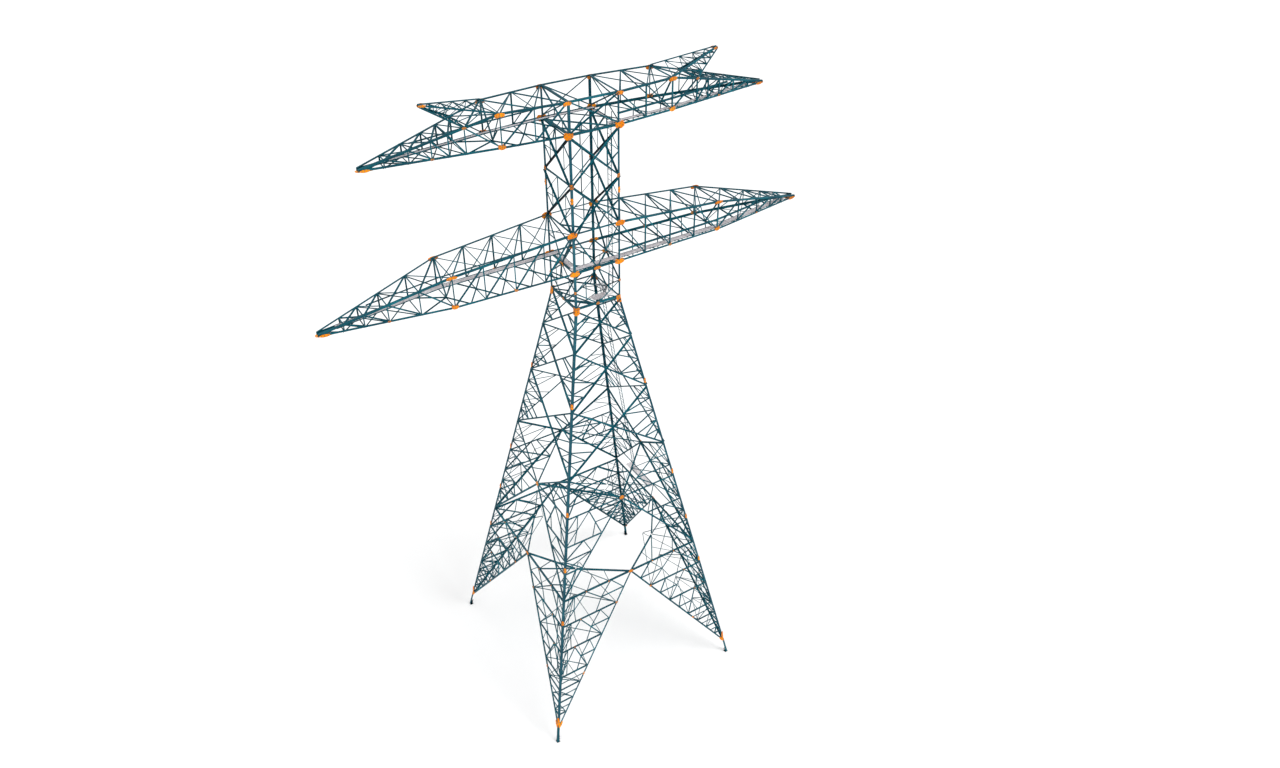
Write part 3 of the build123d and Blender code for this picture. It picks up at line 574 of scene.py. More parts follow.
def portal_bars():
    bars = [(chord_at(CHORD_FOOT_Z), (0.0, PORTAL_Z), MAIN_B)]
    for z in TIERS[1:]:
        bars.append((leg_at(z), chord_at(z), TIER_B if z > TIERS[4] else WEB_B))
    for top, foot in zip(TIERS[:3], TIERS[1:4]):
        apex = between(leg_at(top), chord_at(top), 1 / 3)
        middle = (top + foot) / 2
        to_leg = line_at(apex, leg_at(foot), middle)
        to_chord = line_at(apex, chord_at(foot), middle)
        by_leg = between(leg_at(top), apex, 0.5)
        by_chord = between(apex, chord_at(top), 0.55)
        bars += [(apex, leg_at(foot), VEE_B), (apex, chord_at(foot), VEE_B),
                 (leg_at(middle), to_leg, FINE_B), (leg_at(middle), by_leg, FINE_B),
                 (to_leg, by_leg, FINE_B),
                 (to_leg, between(leg_at(foot), chord_at(foot), 0.25), FINE_B),
                 (to_chord, chord_at(middle), LIGHT_B), (chord_at(middle), by_chord, LIGHT_B),
                 (to_chord, by_chord, FINE_B),
                 (to_chord, between(leg_at(foot), chord_at(foot), 0.62), FINE_B)]
    for top, foot in zip(TIERS[3:6], TIERS[4:7]):
        middle = (top + foot) / 2
        half_way = line_at(leg_at(top), chord_at(foot), middle)
        bars += [(leg_at(top), chord_at(foot), WEB_B), (leg_at(middle), half_way, FINE_B),
                 (chord_at(middle), half_way, FINE_B)]
    return both_hands(bars) + [(leg_at(PORTAL_Z), (half(PORTAL_Z), PORTAL_Z), PORTAL_B)]


print("leg extensions:", len(portal_bars()), "bars on each side")

# %% K panel and the diamond above it
HEEL_Z = PORTAL_Z + 0.05
K_SHARES = (0.832, 0.665, 0.495, 0.336, 0.165)
K_TIERS = [PORTAL_Z + (CROSS_Z - PORTAL_Z) * share for share in K_SHARES]


def k_panel_bars():
    head = (0.0, CROSS_Z)
    heel = leg_at(HEEL_Z)
    high, tie, mid, low_tie, low_k = K_TIERS

    def brace(z):
        return line_at(head, heel, z)

    apex = between(leg_at(CROSS_Z), head, 0.4)
    middle = between(leg_at(tie), brace(tie), 0.5)
    near_leg = line_at(apex, leg_at(tie), high)
    near_brace = line_at(apex, brace(tie), high)
    by_leg = between(leg_at(CROSS_Z), apex, 0.5)
    low_middle = between(leg_at(mid), brace(low_tie), 0.5)
    return [(heel, head, MAIN_B),
            (leg_at(tie), brace(tie), WEB_B), (leg_at(mid), brace(mid), LIGHT_B),
            (leg_at(low_tie), brace(low_tie), WEB_B), (leg_at(low_k), brace(low_k), FINE_B),
            (apex, leg_at(tie), WEB_B), (apex, brace(tie), WEB_B),
            (leg_at(high), near_leg, FINE_B), (brace(high), near_brace, FINE_B),
            (by_leg, near_leg, FINE_B), (by_leg, leg_at(high), FINE_B),
            (middle, leg_at(mid), LIGHT_B), (middle, brace(mid), LIGHT_B),
            (near_leg, between(leg_at(tie), middle, 0.5), FINE_B),
            (near_brace, between(brace(tie), middle, 0.5), FINE_B),
            (leg_at(mid), brace(low_tie), LIGHT_B), (brace(mid), low_middle, FINE_B),
            (leg_at(low_tie), low_middle, FINE_B), (leg_at(low_tie), brace(low_k), LIGHT_B),
            (leg_at(low_k), between(leg_at(low_tie), brace(low_k), 0.5), FINE_B)]


def diamond_bars():
    """The V that carries the crossed panels, with short struts back to the legs."""
    top = PANEL_Z[0]
    foot = (0.0, CROSS_Z)

    def vee(share):
        return between(foot, leg_at(top), share)

    rise = top - CROSS_Z
    on_leg = leg_at(CROSS_Z + 0.32 * rise)
    return [(foot, leg_at(top), BRACE_B), (vee(0.66), on_leg, LIGHT_B),
            (vee(0.35), on_leg, LIGHT_B), (vee(0.66), leg_at(CROSS_Z + 0.66 * rise), FINE_B),
            (vee(0.35), between(leg_at(CROSS_Z), foot, 0.4), LIGHT_B)]


print("K panel:", 2 * len(k_panel_bars()), "bars; diamond:", 2 * len(diamond_bars()), "bars")

# %% Crossed panels
def crossed_bars(z0, z1, struts):
    """A crossed panel. struts are shares of its height, from leg to diagonal."""
    h0, h1 = half(z0), half(z1)
    centre = (0.0, z0 + (z1 - z0) * h0 / (h0 + h1))
    bars = [(leg_at(z0), (h1, z1), BRACE_B, "crossed")]

    def leg_share(share):
        return leg_at(z0 + (z1 - z0) * share)

    def diagonal(share):
        z = z0 + (z1 - z0) * share
        return line_at(leg_at(z0), centre, z) if z < centre[1] else line_at(centre, leg_at(z1), z)

    for on_leg, on_diagonal in struts:
        bars.append((leg_share(on_leg), diagonal(on_diagonal), LIGHT_B))
    return bars


TALL_STRUTS = ((0.574, 0.377), (0.574, 0.689), (0.410, 0.300), (0.410, 0.213), (0.250, 0.213),
               (0.250, 0.110), (0.787, 0.689), (0.787, 0.852))
MIDDLE_STRUTS = ((0.524, 0.383), (0.524, 0.746), (0.300, 0.383), (0.300, 0.200), (0.706, 0.786),
                 (0.150, 0.200))
SHORT_STRUTS = ((0.672, 0.759), (0.460, 0.759), (0.460, 0.300), (0.328, 0.300))


def upper_side_bars():
    levels = PANEL_Z + [WAIST_Z]
    bars = k_panel_bars() + diamond_bars()
    for (z0, z1), struts in zip(pairwise(levels),
                                (TALL_STRUTS, MIDDLE_STRUTS, SHORT_STRUTS)):
        bars += crossed_bars(z0, z1, struts)
    return both_hands(bars) + [(leg_at(CROSS_Z), (half(CROSS_Z), CROSS_Z), WEB_B)]


print("upper side:", len(upper_side_bars()), "bars on each side")

# %% Raise the sloping sides
for k, side in enumerate(SIDES):
    for name, bars, replaced in (("_leg_extension_bars", portal_bars(), "portal_"),
                                 ("_side_bars", upper_side_bars(), "body_")):
        work = Steelwork()
        lay_side(work, bars, on_side, SLOPE_OUT, LEG_PLATE, side in ("north", "east"))
        raise_steel(side + name, work.copy_turned(k), [replaced + side])

# %% [markdown]
# ## Inside the leg extensions
# The two inclined chords of each leg are tied to each other on the leg's inner side, level by
# level, with a V in each bay. From the middle of each tie a hip strut runs back to the leg.

# %% Inner ties and hip struts
INNER_INSET = 0.03
HEEL_INSET = 0.05


def inner_point(z, hand):
    """A point on an inclined chord of the south-west leg. hand is -1 on the west side."""
    a, _ = chord_at(z)
    inset = INNER_INSET - half(z)
    return Vector((a, inset, z)) if hand > 0 else Vector((inset, a, z))


def heel_point(z):
    return Vector((HEEL_INSET - half(z), HEEL_INSET - half(z), z))


def leg_inside():
    work = Steelwork()
    a, b, c = inner_point(FOOT_Z, 1), inner_point(PORTAL_Z, 1), inner_point(PORTAL_Z, -1)
    facing = (c - a).cross(b - a).normalized()
    facing = facing if facing.x + facing.y > 0 else -facing
    hip = Vector((1, -1, 0)).normalized()
    for z in TIERS[1:]:
        south, west = inner_point(z, 1), inner_point(z, -1)
        work.bar(south, west, LIGHT_B, facing, trim=0.03)
        if z > TIERS[4]:
            work.bar((south + west) / 2, heel_point(z), FINE_B, hip, trim=0.03)
    for top, foot in zip(TIERS[:4], TIERS[1:5]):
        middle = (inner_point(top, 1) + inner_point(top, -1)) / 2
        work.bar(middle, heel_point(foot), FINE_B, hip, trim=0.04)
        for hand in (-1, 1):
            work.bar(middle, inner_point(foot, hand), FINE_B, facing, FINE_DEPTH, trim=0.03)
    return work


raise_steel("leg_inner_ties", all_round(leg_inside()), ["leg_inner_frames"])

# %% [markdown]
# ## Level frames
# Level frames of lying angles keep the tower square: an octagon at the main horizontal, a diamond
# with braced corners where the K panels end, and small diamonds inside the cage. The frame under
# the upper arms also has two diagonals that run through from leg to leg, one below the other. All
# else is laid as one quarter and turned, because the four corners are alike.

# %% Level frames
UP = Vector((0, 0, 1))
CHORD_T = 0.006


def lay_level(work, bars, z):
    for p, q, width in bars:
        bolts = 2 if width >= WEB_B else 1
        work.bar(Vector((*p, z)), Vector((*q, z)), width, UP, bolts=bolts, trim=0.03)


def round_the_tower(bars, z):
    """Lays a quarter of a level frame, and its three turned copies."""
    work = Steelwork()
    lay_level(work, bars, z)
    return all_round(work)


PORTAL_CORNER = 0.59
FRAME_INSET = 0.03


def portal_frame():
    reach = half(PORTAL_Z) - FRAME_INSET
    corner = (-PORTAL_CORNER * reach, -PORTAL_CORNER * reach)
    third = reach / 3
    heel = (-reach, -reach)
    quarter = [((0.0, -reach), corner, BRACE_B), (corner, (-reach, 0.0), BRACE_B),
               (corner, heel, WEB_B), (corner, (-third, -reach), WEB_B),
               (corner, (-reach, -third), WEB_B),
               (between(corner, heel, 0.5), (-0.66 * reach, -reach), LIGHT_B),
               (between(corner, heel, 0.5), (-reach, -0.66 * reach), LIGHT_B),
               (between(corner, (-third, -reach), 0.5), (-0.66 * reach, -reach), FINE_B),
               (between(corner, (-reach, -third), 0.5), (-reach, -0.66 * reach), FINE_B),
               (between(corner, (0.0, -reach), 0.5), (-third, -reach), FINE_B),
               (between(corner, (-reach, 0.0), 0.5), (-reach, -third), FINE_B)]
    return round_the_tower(quarter, PORTAL_Z + CHORD_T)


def cross_frame():
    reach = half(CROSS_Z) - FRAME_INSET
    middle = (-reach / 2, -reach / 2)
    quarter = [((0.0, -reach), (-reach, 0.0), BRACE_B), (middle, (-reach, -reach), WEB_B),
               (middle, (-reach * 0.5, -reach), LIGHT_B),
               (middle, (-reach, -reach * 0.5), LIGHT_B),
               (between(middle, (0.0, -reach), 0.5), (-reach * 0.5, -reach), FINE_B),
               (between(middle, (-reach, 0.0), 0.5), (-reach, -reach * 0.5), FINE_B)]
    return round_the_tower(quarter, CROSS_Z + CHORD_T)


def cage_diamond(z, stays, width):
    reach = CAGE_HALF - 0.02
    quarter = [((0.0, -reach), (-reach, 0.0), width)]
    if stays == "short":
        quarter.append(((-reach / 2, -reach / 2), (-reach, -reach), LIGHT_B))
    frame_bars = round_the_tower(quarter, z)
    if stays == "through":
        lay_level(frame_bars, [((-reach, -reach), (reach, reach), WEB_B)], z - CHORD_T)
        lay_level(frame_bars, [((reach, -reach), (-reach, reach), WEB_B)], z - 2 * CHORD_T)
    return frame_bars


raise_steel("main_horizontal_frame", portal_frame(), ["portal_frame"])
raise_steel("k_brace_frame", cross_frame(), ["cross_frame"])
for name, z, stays, width in (("waist_frame", WAIST_Z + 0.03, "short", MAIN_B),
                              ("lower_arm_frame", LOWER_Z + CHORD_T, "short", WEB_B),
                              ("lower_arm_top_frame", LOWER_TOP_Z - 0.01, "none", WEB_B),
                              ("upper_arm_frame", UPPER_Z + CHORD_T, "through", WEB_B)):
    raise_steel(name + "_bars", cage_diamond(z, stays, width), [name])

# %% [markdown]
# ## Cage
# Above the waist the legs stand upright. On the east and west sides, from which the arms stand
# out, one hand of the long diagonals is a heavy angle in near-black paint, which is painted shade.
# It is laid apart from the rest, so that it gets this painted shade. All other diagonals of the
# cage are light angles.

# %% Cage sides
CAGE_PLATE = 0.008
CAGE_BRACE_B = 0.040
DARK_BRACE_B = 0.050
WAIST_LIFT = 0.045
CHORD_LIFT = 0.027
CHORD_DROP = 0.023
OUTWARD = Vector((0, -1, 0))
RIGHT = Vector((1, 0, 0))


def cage_bars(along_arms):
    h = CAGE_HALF
    waist = WAIST_Z + WAIST_LIFT
    node, low_z, low_top, mid, up_z, up_top = (CAGE_NODE_Z, LOWER_Z, LOWER_TOP_Z, CAGE_MID_Z,
                                               UPPER_Z, UPPER_TOP_Z)
    bars = [((0.0, waist), (-h, node), WEB_B), ((-h, node), (0.0, low_z), WEB_B),
            ((-h / 2, (waist + node) / 2), (-h / 2, (node + low_z) / 2), FINE_B),
            ((-h, low_top), (0.0, low_z + 0.03), CAGE_BRACE_B),
            ((-h, up_z + 0.08), (h, up_top), WEB_B, "crossed"),
            ((-h / 2, up_z + 0.03), (-h / 2, (3 * up_z + up_top) / 4 + 0.05), FINE_B),
            ((-h / 2, (low_z + low_top) / 2), (-h, (low_z + low_top) / 2), FINE_B)]
    for foot, top in ((low_top, mid), (mid, up_z)):
        quarter = (top - foot) / 4
        bars += [((-h / 2, foot + quarter), (-h, foot + 2 * quarter), FINE_B),
                 ((-h / 2, foot + 3 * quarter), (-h, foot + 2 * quarter), FINE_B),
                 ((-h / 2, foot + quarter), (-h / 2, foot + 3 * quarter), FINE_B)]
    bars = both_hands(bars)
    levels = [(waist, MAIN_B), (low_z + CHORD_LIFT, CHORD_B), (low_top - CHORD_DROP, WEB_B),
              (up_z + CHORD_LIFT, CHORD_B), (up_top - CHORD_DROP, TOP_CHORD_B)]
    if not along_arms:
        levels.append((mid, WEB_B))
    return bars + [((-h, z), (h, z), width) for z, width in levels]


def cage_diagonals(hand, width, layer="crossed"):
    """The long diagonals of one hand: 1 rises to the right, seen from outside."""
    h = hand * CAGE_HALF
    return [((-h, foot), (h, top), width, layer)
            for foot, top in ((LOWER_TOP_Z, CAGE_MID_Z), (CAGE_MID_Z, UPPER_Z))]


def cage_point(a, z):
    return Vector((a, -CAGE_HALF, z))


def lay_cage(bars, quarter):
    work = Steelwork()
    lay_side(work, bars, cage_point, OUTWARD, CAGE_PLATE)
    return work.copy_turned(quarter)


CHORD_B = 0.062
TOP_CHORD_B = 0.053
for k, side in enumerate(SIDES):
    along_arms = k % 2 == 0
    bars = cage_bars(along_arms)
    light_hands = (1, -1) if along_arms else ((1,) if side == "east" else (-1,))
    for hand in light_hands:
        layer = {"west": "outer", "east": "face"}.get(side, "crossed")
        bars += cage_diagonals(hand, CAGE_BRACE_B if along_arms else BRACE_B, layer)
    raise_steel(side + "_cage_bars", lay_cage(bars, k), ["cage_" + side])
    if not along_arms:
        layer = "outer" if side == "east" else "face"
        heavy = cage_diagonals(-light_hands[0], DARK_BRACE_B, layer)
        # The heavy diagonals get the near-black paint as painted shade.
        raise_steel(side + "_cage_dark_braces", lay_cage(heavy, k), paint=cleat_paint_and_painted_brace_shade)

# %% [markdown]
# ## Crossarms
# A crossarm is a tapering box: two upright sides that meet at the tip, a braced underside and a
# braced top. It is widest at the cage, narrows to a knee and then runs to the tip. Each of its
# four chords is an angle with its heel on the arm's corner. The outline is kept as a few points in
# plan and from the side, so that every post, strut and plate can ask for its place on the arm.

# %% Shape of a crossarm
class Arm:
    """The east crossarm. The west one is the same, turned half round."""

    def __init__(self, name, z, top_z, knee_share, knee_half, knee_top, tip_half, bays, steps):
        reach = high(name + "_arm_east_sides").x - CAGE_HALF
        self.name, self.z = name, z
        self.knee, self.tip = CAGE_HALF + knee_share * reach, CAGE_HALF + reach
        self.plan = [(CAGE_HALF, CAGE_HALF), (self.knee, knee_half), (self.tip, tip_half)]
        self.tops = [(CAGE_HALF, top_z), (self.knee, knee_top), (self.tip, z + 0.073)]
        self.inner = [CAGE_HALF + (self.knee - CAGE_HALF) * k / bays for k in range(bays + 1)]
        self.outer = [self.knee + (self.tip - self.knee) * s for s in (0.0, *steps)]

    def along(self, points, x):
        a, b = points[:2] if x <= self.knee else points[1:]
        return a[1] + (b[1] - a[1]) * (x - a[0]) / (b[0] - a[0])

    def half(self, x):
        return self.along(self.plan, x)

    def top(self, x):
        return self.along(self.tops, x)

    def low_point(self, x, up=0.0):
        return Vector((x, -self.half(x), self.z + up))

    def top_point(self, x, down=0.0):
        return Vector((x, -self.half(x), self.top(x) - down))


LOWER_ARM = Arm("lower", LOWER_Z, LOWER_TOP_Z, 0.5024, 0.658, LOWER_Z + 0.98, 0.090, 4,
                (0.254, 0.492, 0.669, 0.816))
UPPER_ARM = Arm("upper", UPPER_Z, UPPER_TOP_Z, 0.3386, 0.595, UPPER_TOP_Z, 0.085, 2,
                (0.257, 0.377, 0.499, 0.658, 0.826))
for arm in (LOWER_ARM, UPPER_ARM):
    print(arm.name, "arm: knee at", round(arm.knee, 3), "and tip at", round(arm.tip, 3))

# %% Chords and sides of a crossarm
SIDE_B = 0.034
WEB_LIFT, WEB_DROP = 0.03, 0.025
SHALLOWEST_POST = 0.2


def chord_place(foot, head, flange, across):
    """An angle with its heel on the line from foot to head, its flanges along the two vectors."""
    run = head - foot
    if flange.cross(across).dot(run) < 0:
        foot, head = head, foot
    return columns(flange, across, head - foot, foot)


def arm_chords(arm, work):
    for x0, x1 in ((CAGE_HALF - 0.06, arm.knee), (arm.knee, arm.tip)):
        low0, low1 = arm.low_point(x0), arm.low_point(x1)
        top0, top1 = arm.top_point(x0), arm.top_point(x1)
        work.bars.append(chord_place(low0, low1, UP * CHORD_B, Vector((0, CHORD_B, 0))))
        work.bars.append(chord_place(top0, top1, -UP * TOP_CHORD_B, Vector((0, TOP_CHORD_B, 0))))


def arm_side(arm):
    """The south side of an east arm: posts, and diagonals that change hand at the knee."""
    work = Steelwork()
    arm_chords(arm, work)
    nodes = arm.inner + arm.outer[1:]
    for x0, x1 in pairwise(nodes):
        run = arm.low_point(x1) - arm.low_point(x0)
        facing = run.cross(UP).normalized()
        inner = x1 <= arm.knee + 0.01
        width = WEB_B if inner else SIDE_B
        low1, top1 = arm.low_point(x1, WEB_LIFT), arm.top_point(x1, WEB_DROP)
        last = x1 == nodes[-1] and arm.top(x1) - arm.z < SHALLOWEST_POST
        if not last:
            work.bar(low1, top1, width, facing, CHORD_T, trim=0.006)
        if inner:
            start, end = arm.top_point(x0, WEB_DROP), low1
        else:
            start, end = arm.low_point(x0, WEB_LIFT), top1
        work.bar(start, end, width, facing, 2 * CHORD_T, bolts=2 if inner else 1, trim=0.02)
    return work


def mirrored_south_north(work):
    """The same steel on the north side. Each place swaps two axes so that it stays right-handed."""
    flip = Matrix.Diagonal((1, -1, 1, 1))
    other = Steelwork()
    for source, target, swap in ((work.bars, other.bars, True), (work.bolts, other.bolts, False)):
        for place in source:
            flipped = flip @ place
            x, y, z, w = (flipped.col[i].to_3d() for i in range(4))
            target.append(columns(y, x, z, w) if swap else columns(x, y, -z, w))
    return other


print("a side of an arm:", [len(arm_side(arm).bars) for arm in (LOWER_ARM, UPPER_ARM)], "bars")

# %% Underside and top of a crossarm
def arm_bottom(arm):
    work = Steelwork()
    z = arm.z + CHORD_T
    bars = [((x, -arm.half(x)), (x, arm.half(x)), WEB_B) for x in arm.inner[1:] + arm.outer[1:]]
    for x0, x1 in pairwise(arm.inner):
        mid = (x0 + x1) / 2
        for y in (-arm.half(mid), arm.half(mid)):
            bars += [((x0, 0.0), (mid, y), LIGHT_B), ((mid, y), (x1, 0.0), LIGHT_B)]
    first = arm.outer[1]
    for hand in (-1, 1):
        bars.append(((arm.knee, 0.0), (first, hand * arm.half(first)), LIGHT_B))
    for x0, x1 in zip(arm.outer[1:], arm.outer[2:] + [arm.tip - 0.1]):
        bars += [((x0, -arm.half(x0)), (x1, arm.half(x1)), FINE_B),
                 ((x0, arm.half(x0)), (x1, -arm.half(x1)), FINE_B)]
    for p, q, width in bars:
        lifted = CHORD_T if width != WEB_B else 0.0
        work.bar(Vector((*p, z)), Vector((*q, z)), width, -UP, -lifted, trim=0.012)
    return work


def arm_top(arm):
    work = Steelwork()
    for nodes, (x0, z0), (x1, z1) in ((arm.inner, *arm.tops[:2]), (arm.outer, *arm.tops[1:])):
        slope = Vector((x1 - x0, 0, z1 - z0)).normalized()
        facing = slope.cross(Vector((0, 1, 0)))
        for a, b in pairwise(nodes):
            pairs = [((a, -1), (b, 1)), ((a, 1), (b, -1)), ((b, -1), (b, 1))]
            width = WEB_B if a >= arm.knee else LIGHT_B
            for n, ((xa, ha), (xb, hb)) in enumerate(pairs):
                start = Vector((xa, ha * arm.half(xa), arm.top(xa)))
                end = Vector((xb, hb * arm.half(xb), arm.top(xb)))
                work.bar(start, end, width, facing, CHORD_T * (1 + n % 2), trim=0.02)
    knee_middle = Vector((arm.knee, 0, arm.z + 0.02))
    for hand in (-1, 1):
        corner = Vector((arm.knee, hand * (arm.half(arm.knee) - 0.02), arm.top(arm.knee) - 0.02))
        work.bar(corner, knee_middle, WEB_B, RIGHT, bolts=2, trim=0.03)
    return work


for arm in (LOWER_ARM, UPPER_ARM):
    south = arm_side(arm)
    sides = merged(south, mirrored_south_north(south))
    for name, quarter in (("east", 0), ("west", 2)):
        title = arm.name + "_arm_" + name
        raise_steel(title + "_side_bars", sides.copy_turned(quarter), [title + "_sides"])
        raise_steel(title + "_underside_bars", arm_bottom(arm).copy_turned(quarter),
                    [title + "_bottom"])
        raise_steel(title + "_top_bars", arm_top(arm).copy_turned(quarter), [title + "_top"])

# %% [markdown]
# ## Earth-wire horns
# Each horn is a slim pyramid of four chords that rise from the upper crossarm to one point, where
# the earth wire hangs. One side is laid and mirrored, and then the two sides are tied together.

# %% Horns
HORN_B = 0.046
HORN_SHARES = (0.0, 0.22, 0.44, 0.64, 0.82)


def horn_points():
    """Foot and top of the two chords on the south side of the east horn."""
    arm = UPPER_ARM
    knee = Vector((arm.knee, -arm.half(arm.knee), UPPER_TOP_Z))
    node_x = arm.outer[1]
    node = Vector((node_x, -arm.half(node_x), arm.top(node_x)))
    apex = Vector((high("horn_east").x - 0.05, -0.037, HORN_Z - 0.022))
    return knee, node, apex, apex - Vector((0, 0, 0.03))


def horn_side():
    """The south side of the east horn: two chords and the web between them."""
    knee, node, apex, low_apex = horn_points()
    facing = (apex - knee).cross(node - knee).normalized()
    facing = facing if facing.y < 0 else -facing
    work = Steelwork()
    work.bar(knee, apex, HORN_B, facing, bolts=2, trim=0.01)
    work.bar(node, low_apex, HORN_B, facing, heel_low=True, bolts=2, trim=0.01)
    for a, b in pairwise(HORN_SHARES):
        for share in (a, b):
            work.bar(knee.lerp(apex, b), node.lerp(low_apex, share), FINE_B, facing, FINE_DEPTH)
    return work


def whole_horn():
    """Both sides, with crossed bars and struts between them."""
    side = horn_side()
    work = merged(side, mirrored_south_north(side))
    knee, node, apex, low_apex = horn_points()
    for start, tip in ((knee, apex), (node, low_apex)):
        points = [start.lerp(tip, share) for share in HORN_SHARES]
        facing = (tip - start).cross(Vector((0, 1, 0))).normalized()
        facing = facing if (facing.z > 0) == (start is knee) else -facing
        for p, q in pairwise(points):
            for hand in (-1, 1):
                a = Vector((p.x, p.y * hand, p.z))
                b = Vector((q.x, -q.y * hand, q.z))
                work.bar(a, b, FINE_B, facing, FINE_DEPTH * (2 if hand < 0 else 1))
            work.bar(q, Vector((q.x, -q.y, q.z)), FINE_B, facing, FINE_DEPTH)
    return work


for name, quarter in (("east", 0), ("west", 2)):
    raise_steel("horn_" + name + "_bars", whole_horn().copy_turned(quarter), ["horn_" + name])

# %% [markdown]
# ## Orange plates
# Where several bars meet, they are bolted to a gusset plate, and the legs have splice plates where
# two lengths of angle meet end to end. On this tower all of them are orange. A gusset is sawn from
# flat plate and its corners are cut off, because nothing is bolted there. Three patterns are made
# from a cube whose upright edges are bevelled: all four corners cut, the two on one side, or one.

# %% Plate patterns
def cut_plate(name, least_x, least_y):
    """A plate a metre square, with the corners past the two limits cut off."""
    deselect()
    bpy.ops.mesh.primitive_cube_add(size=1)
    plate = bpy.context.object
    bpy.ops.object.mode_set(mode="EDIT")
    choose(plate, "edges", lambda e: abs(edge_middle(e).z) < 0.01
           and edge_middle(e).x > least_x and edge_middle(e).y > least_y)
    bpy.ops.mesh.bevel(offset=0.31, segments=1)
    bpy.ops.object.mode_set(mode="OBJECT")
    plate.name = name
    return plate


plate_patterns = {"node": cut_plate("node", -1, -1), "edge": cut_plate("edge", 0, -1),
                  "corner": cut_plate("corner", 0, 0)}
print("plate patterns:", [len(p.data.polygons) for p in plate_patterns.values()], "faces")

# %% Plates
class Plates:
    """Plates as places for the three patterns, each with its bolts."""

    def __init__(self):
        self.places = {kind: [] for kind in plate_patterns}
        self.bolts = []

    def add(self, kind, middle, across, up, width, height, facing):
        across, up = across.normalized(), up.normalized()
        place = columns(across * width, up * height, across.cross(up) * PLATE, middle)
        self.places[kind].append(place)
        spots = [(-0.3, 0.0), (0.3, 0.0), (0.0, 0.3), (0.0, -0.3)]
        if height > 0.2:
            spots += [(0.0, 0.0), (-0.28, 0.24), (-0.28, -0.24)]
        if width < 0.08:
            spots = spots[:2]
        for u, v in spots:
            spot = middle + across * width * u + up * height * v + facing * PLATE / 2
            self.bolts.append(columns(up.cross(facing), up, facing, spot))

    def take(self, other, quarter=0):
        """Adds the plates and bolts of another set, turned by quarters."""
        for kind, places in other.places.items():
            self.places[kind] += turned(places, quarter)
        self.bolts += turned(other.bolts, quarter)

    def copy_turned(self, *quarters):
        whole = Plates()
        for quarter in quarters:
            whole.take(self, quarter)
        return whole


def raise_plates(name, plates, *replaced):
    """Joins the plates of the three patterns into one piece and adds their bolts."""
    parts = [stamped(f"{name}_{kind}", plate_patterns[kind], places, plate_paint)
             for kind, places in plates.places.items() if places]
    deselect()
    for part in parts:
        part.select_set(True)
    bpy.context.view_layer.objects.active = parts[0]
    if len(parts) > 1:
        bpy.ops.object.join()
    piece = parts[0]
    piece.name = name
    piece.data.name = name
    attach(piece, "root")
    if replaced:
        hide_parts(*replaced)
    stamped(name + "_bolts", bolt_pattern, plates.bolts, bolt_zinc)
    print(name, sum(len(p) for p in plates.places.values()), "plates", len(plates.bolts), "bolts")

# %% Plates of the sloping sides and the legs
SLOPE_UP = Vector((0, LEAN, 1)).normalized()


def leg_plates(spans, width, kind="edge"):
    """Plates on the outside of the leg flanges, on both corners of the south side."""
    plates = Plates()
    for z0, z1 in spans:
        z = (z0 + z1) / 2
        leans = z < WAIST_Z
        up, facing = (SLOPE_UP, SLOPE_OUT) if leans else (UP, OUTWARD)
        if kind == "corner" and leans:
            up = -up
        for hand in (1, -1):
            edge = -half(z) - PLATE if hand > 0 else half(z) + PLATE
            middle = Vector((edge + hand * width / 2, -half(z), z)) + facing * PLATE / 2
            plates.add(kind, middle, RIGHT * hand, up, width, z1 - z0, facing)
    return plates


def around(middle, length):
    return (middle - length / 2, middle + length / 2)


SPLICE_L = 0.175
SPLICE_LIFT = 0.190
SPLICE_B = 0.064
CAGE_SPLICE_DROP = 0.425
EVERYWHERE = (0, 1, 2, 3)
splice_nodes = (TIERS[1], K_TIERS[3], CROSS_Z, PANEL_Z[1])
splices = [around(z + SPLICE_LIFT, SPLICE_L) for z in splice_nodes]
splices.append(around(CAGE_MID_Z - CAGE_SPLICE_DROP, SPLICE_L))
raise_plates("leg_splice_plates", leg_plates(splices, SPLICE_B).copy_turned(*EVERYWHERE),
             "leg_splices")

FOOT_PLATE_B = 0.070
FOOT_WING = (FOOT_PLATE_B, 0.270)
FOOT_WING_UP, FOOT_WING_IN = 0.19, 0.030
foot_plates = leg_plates([(STUB_Z - 0.03, FOOT_Z + 0.29)], FOOT_PLATE_B)
chord_run = on_side(*chord_at(TIERS[1])) - on_side(*chord_at(CHORD_FOOT_Z))


def chord_axes(hand):
    """Across and along an inclined chord, on the left of the side for 1 and the right for -1."""
    up = Vector((chord_run.x * hand, chord_run.y, chord_run.z)).normalized()
    return up.cross(SLOPE_OUT) * hand, up


for hand in (1, -1):
    across, up = chord_axes(hand)
    foot = on_side(-hand * half(CHORD_FOOT_Z), CHORD_FOOT_Z)
    middle = foot + up * FOOT_WING_UP + RIGHT * hand * FOOT_WING_IN + SLOPE_OUT * PLATE * 1.5
    foot_plates.add("edge", middle, across, up, *FOOT_WING, SLOPE_OUT)
raise_plates("foot_plates", foot_plates.copy_turned(*EVERYWHERE), "foot_gussets")

WAIST_PLATE_B = 0.150
waist_spans = [(WAIST_Z - 0.140, WAIST_Z), (WAIST_Z, WAIST_Z + 0.100)]
waist_plates = leg_plates(waist_spans, WAIST_PLATE_B, "corner")
raise_plates("waist_plates", waist_plates.copy_turned(*EVERYWHERE), "waist_gussets")

# %% Plates where the bars of a side meet
side_plates = leg_plates([around(CAGE_MID_Z, 0.130)], 0.096)
side_plates.take(leg_plates([around(CAGE_NODE_Z, 0.08)], 0.066))


def add_behind(kind, a, z, size, across=RIGHT, up=SLOPE_UP):
    """A plate just behind the flanges of a sloping side."""
    middle = on_side(a, z) - SLOPE_OUT * (PLATE / 2 + 0.001)
    side_plates.add(kind, middle, across, up, *size, SLOPE_OUT)


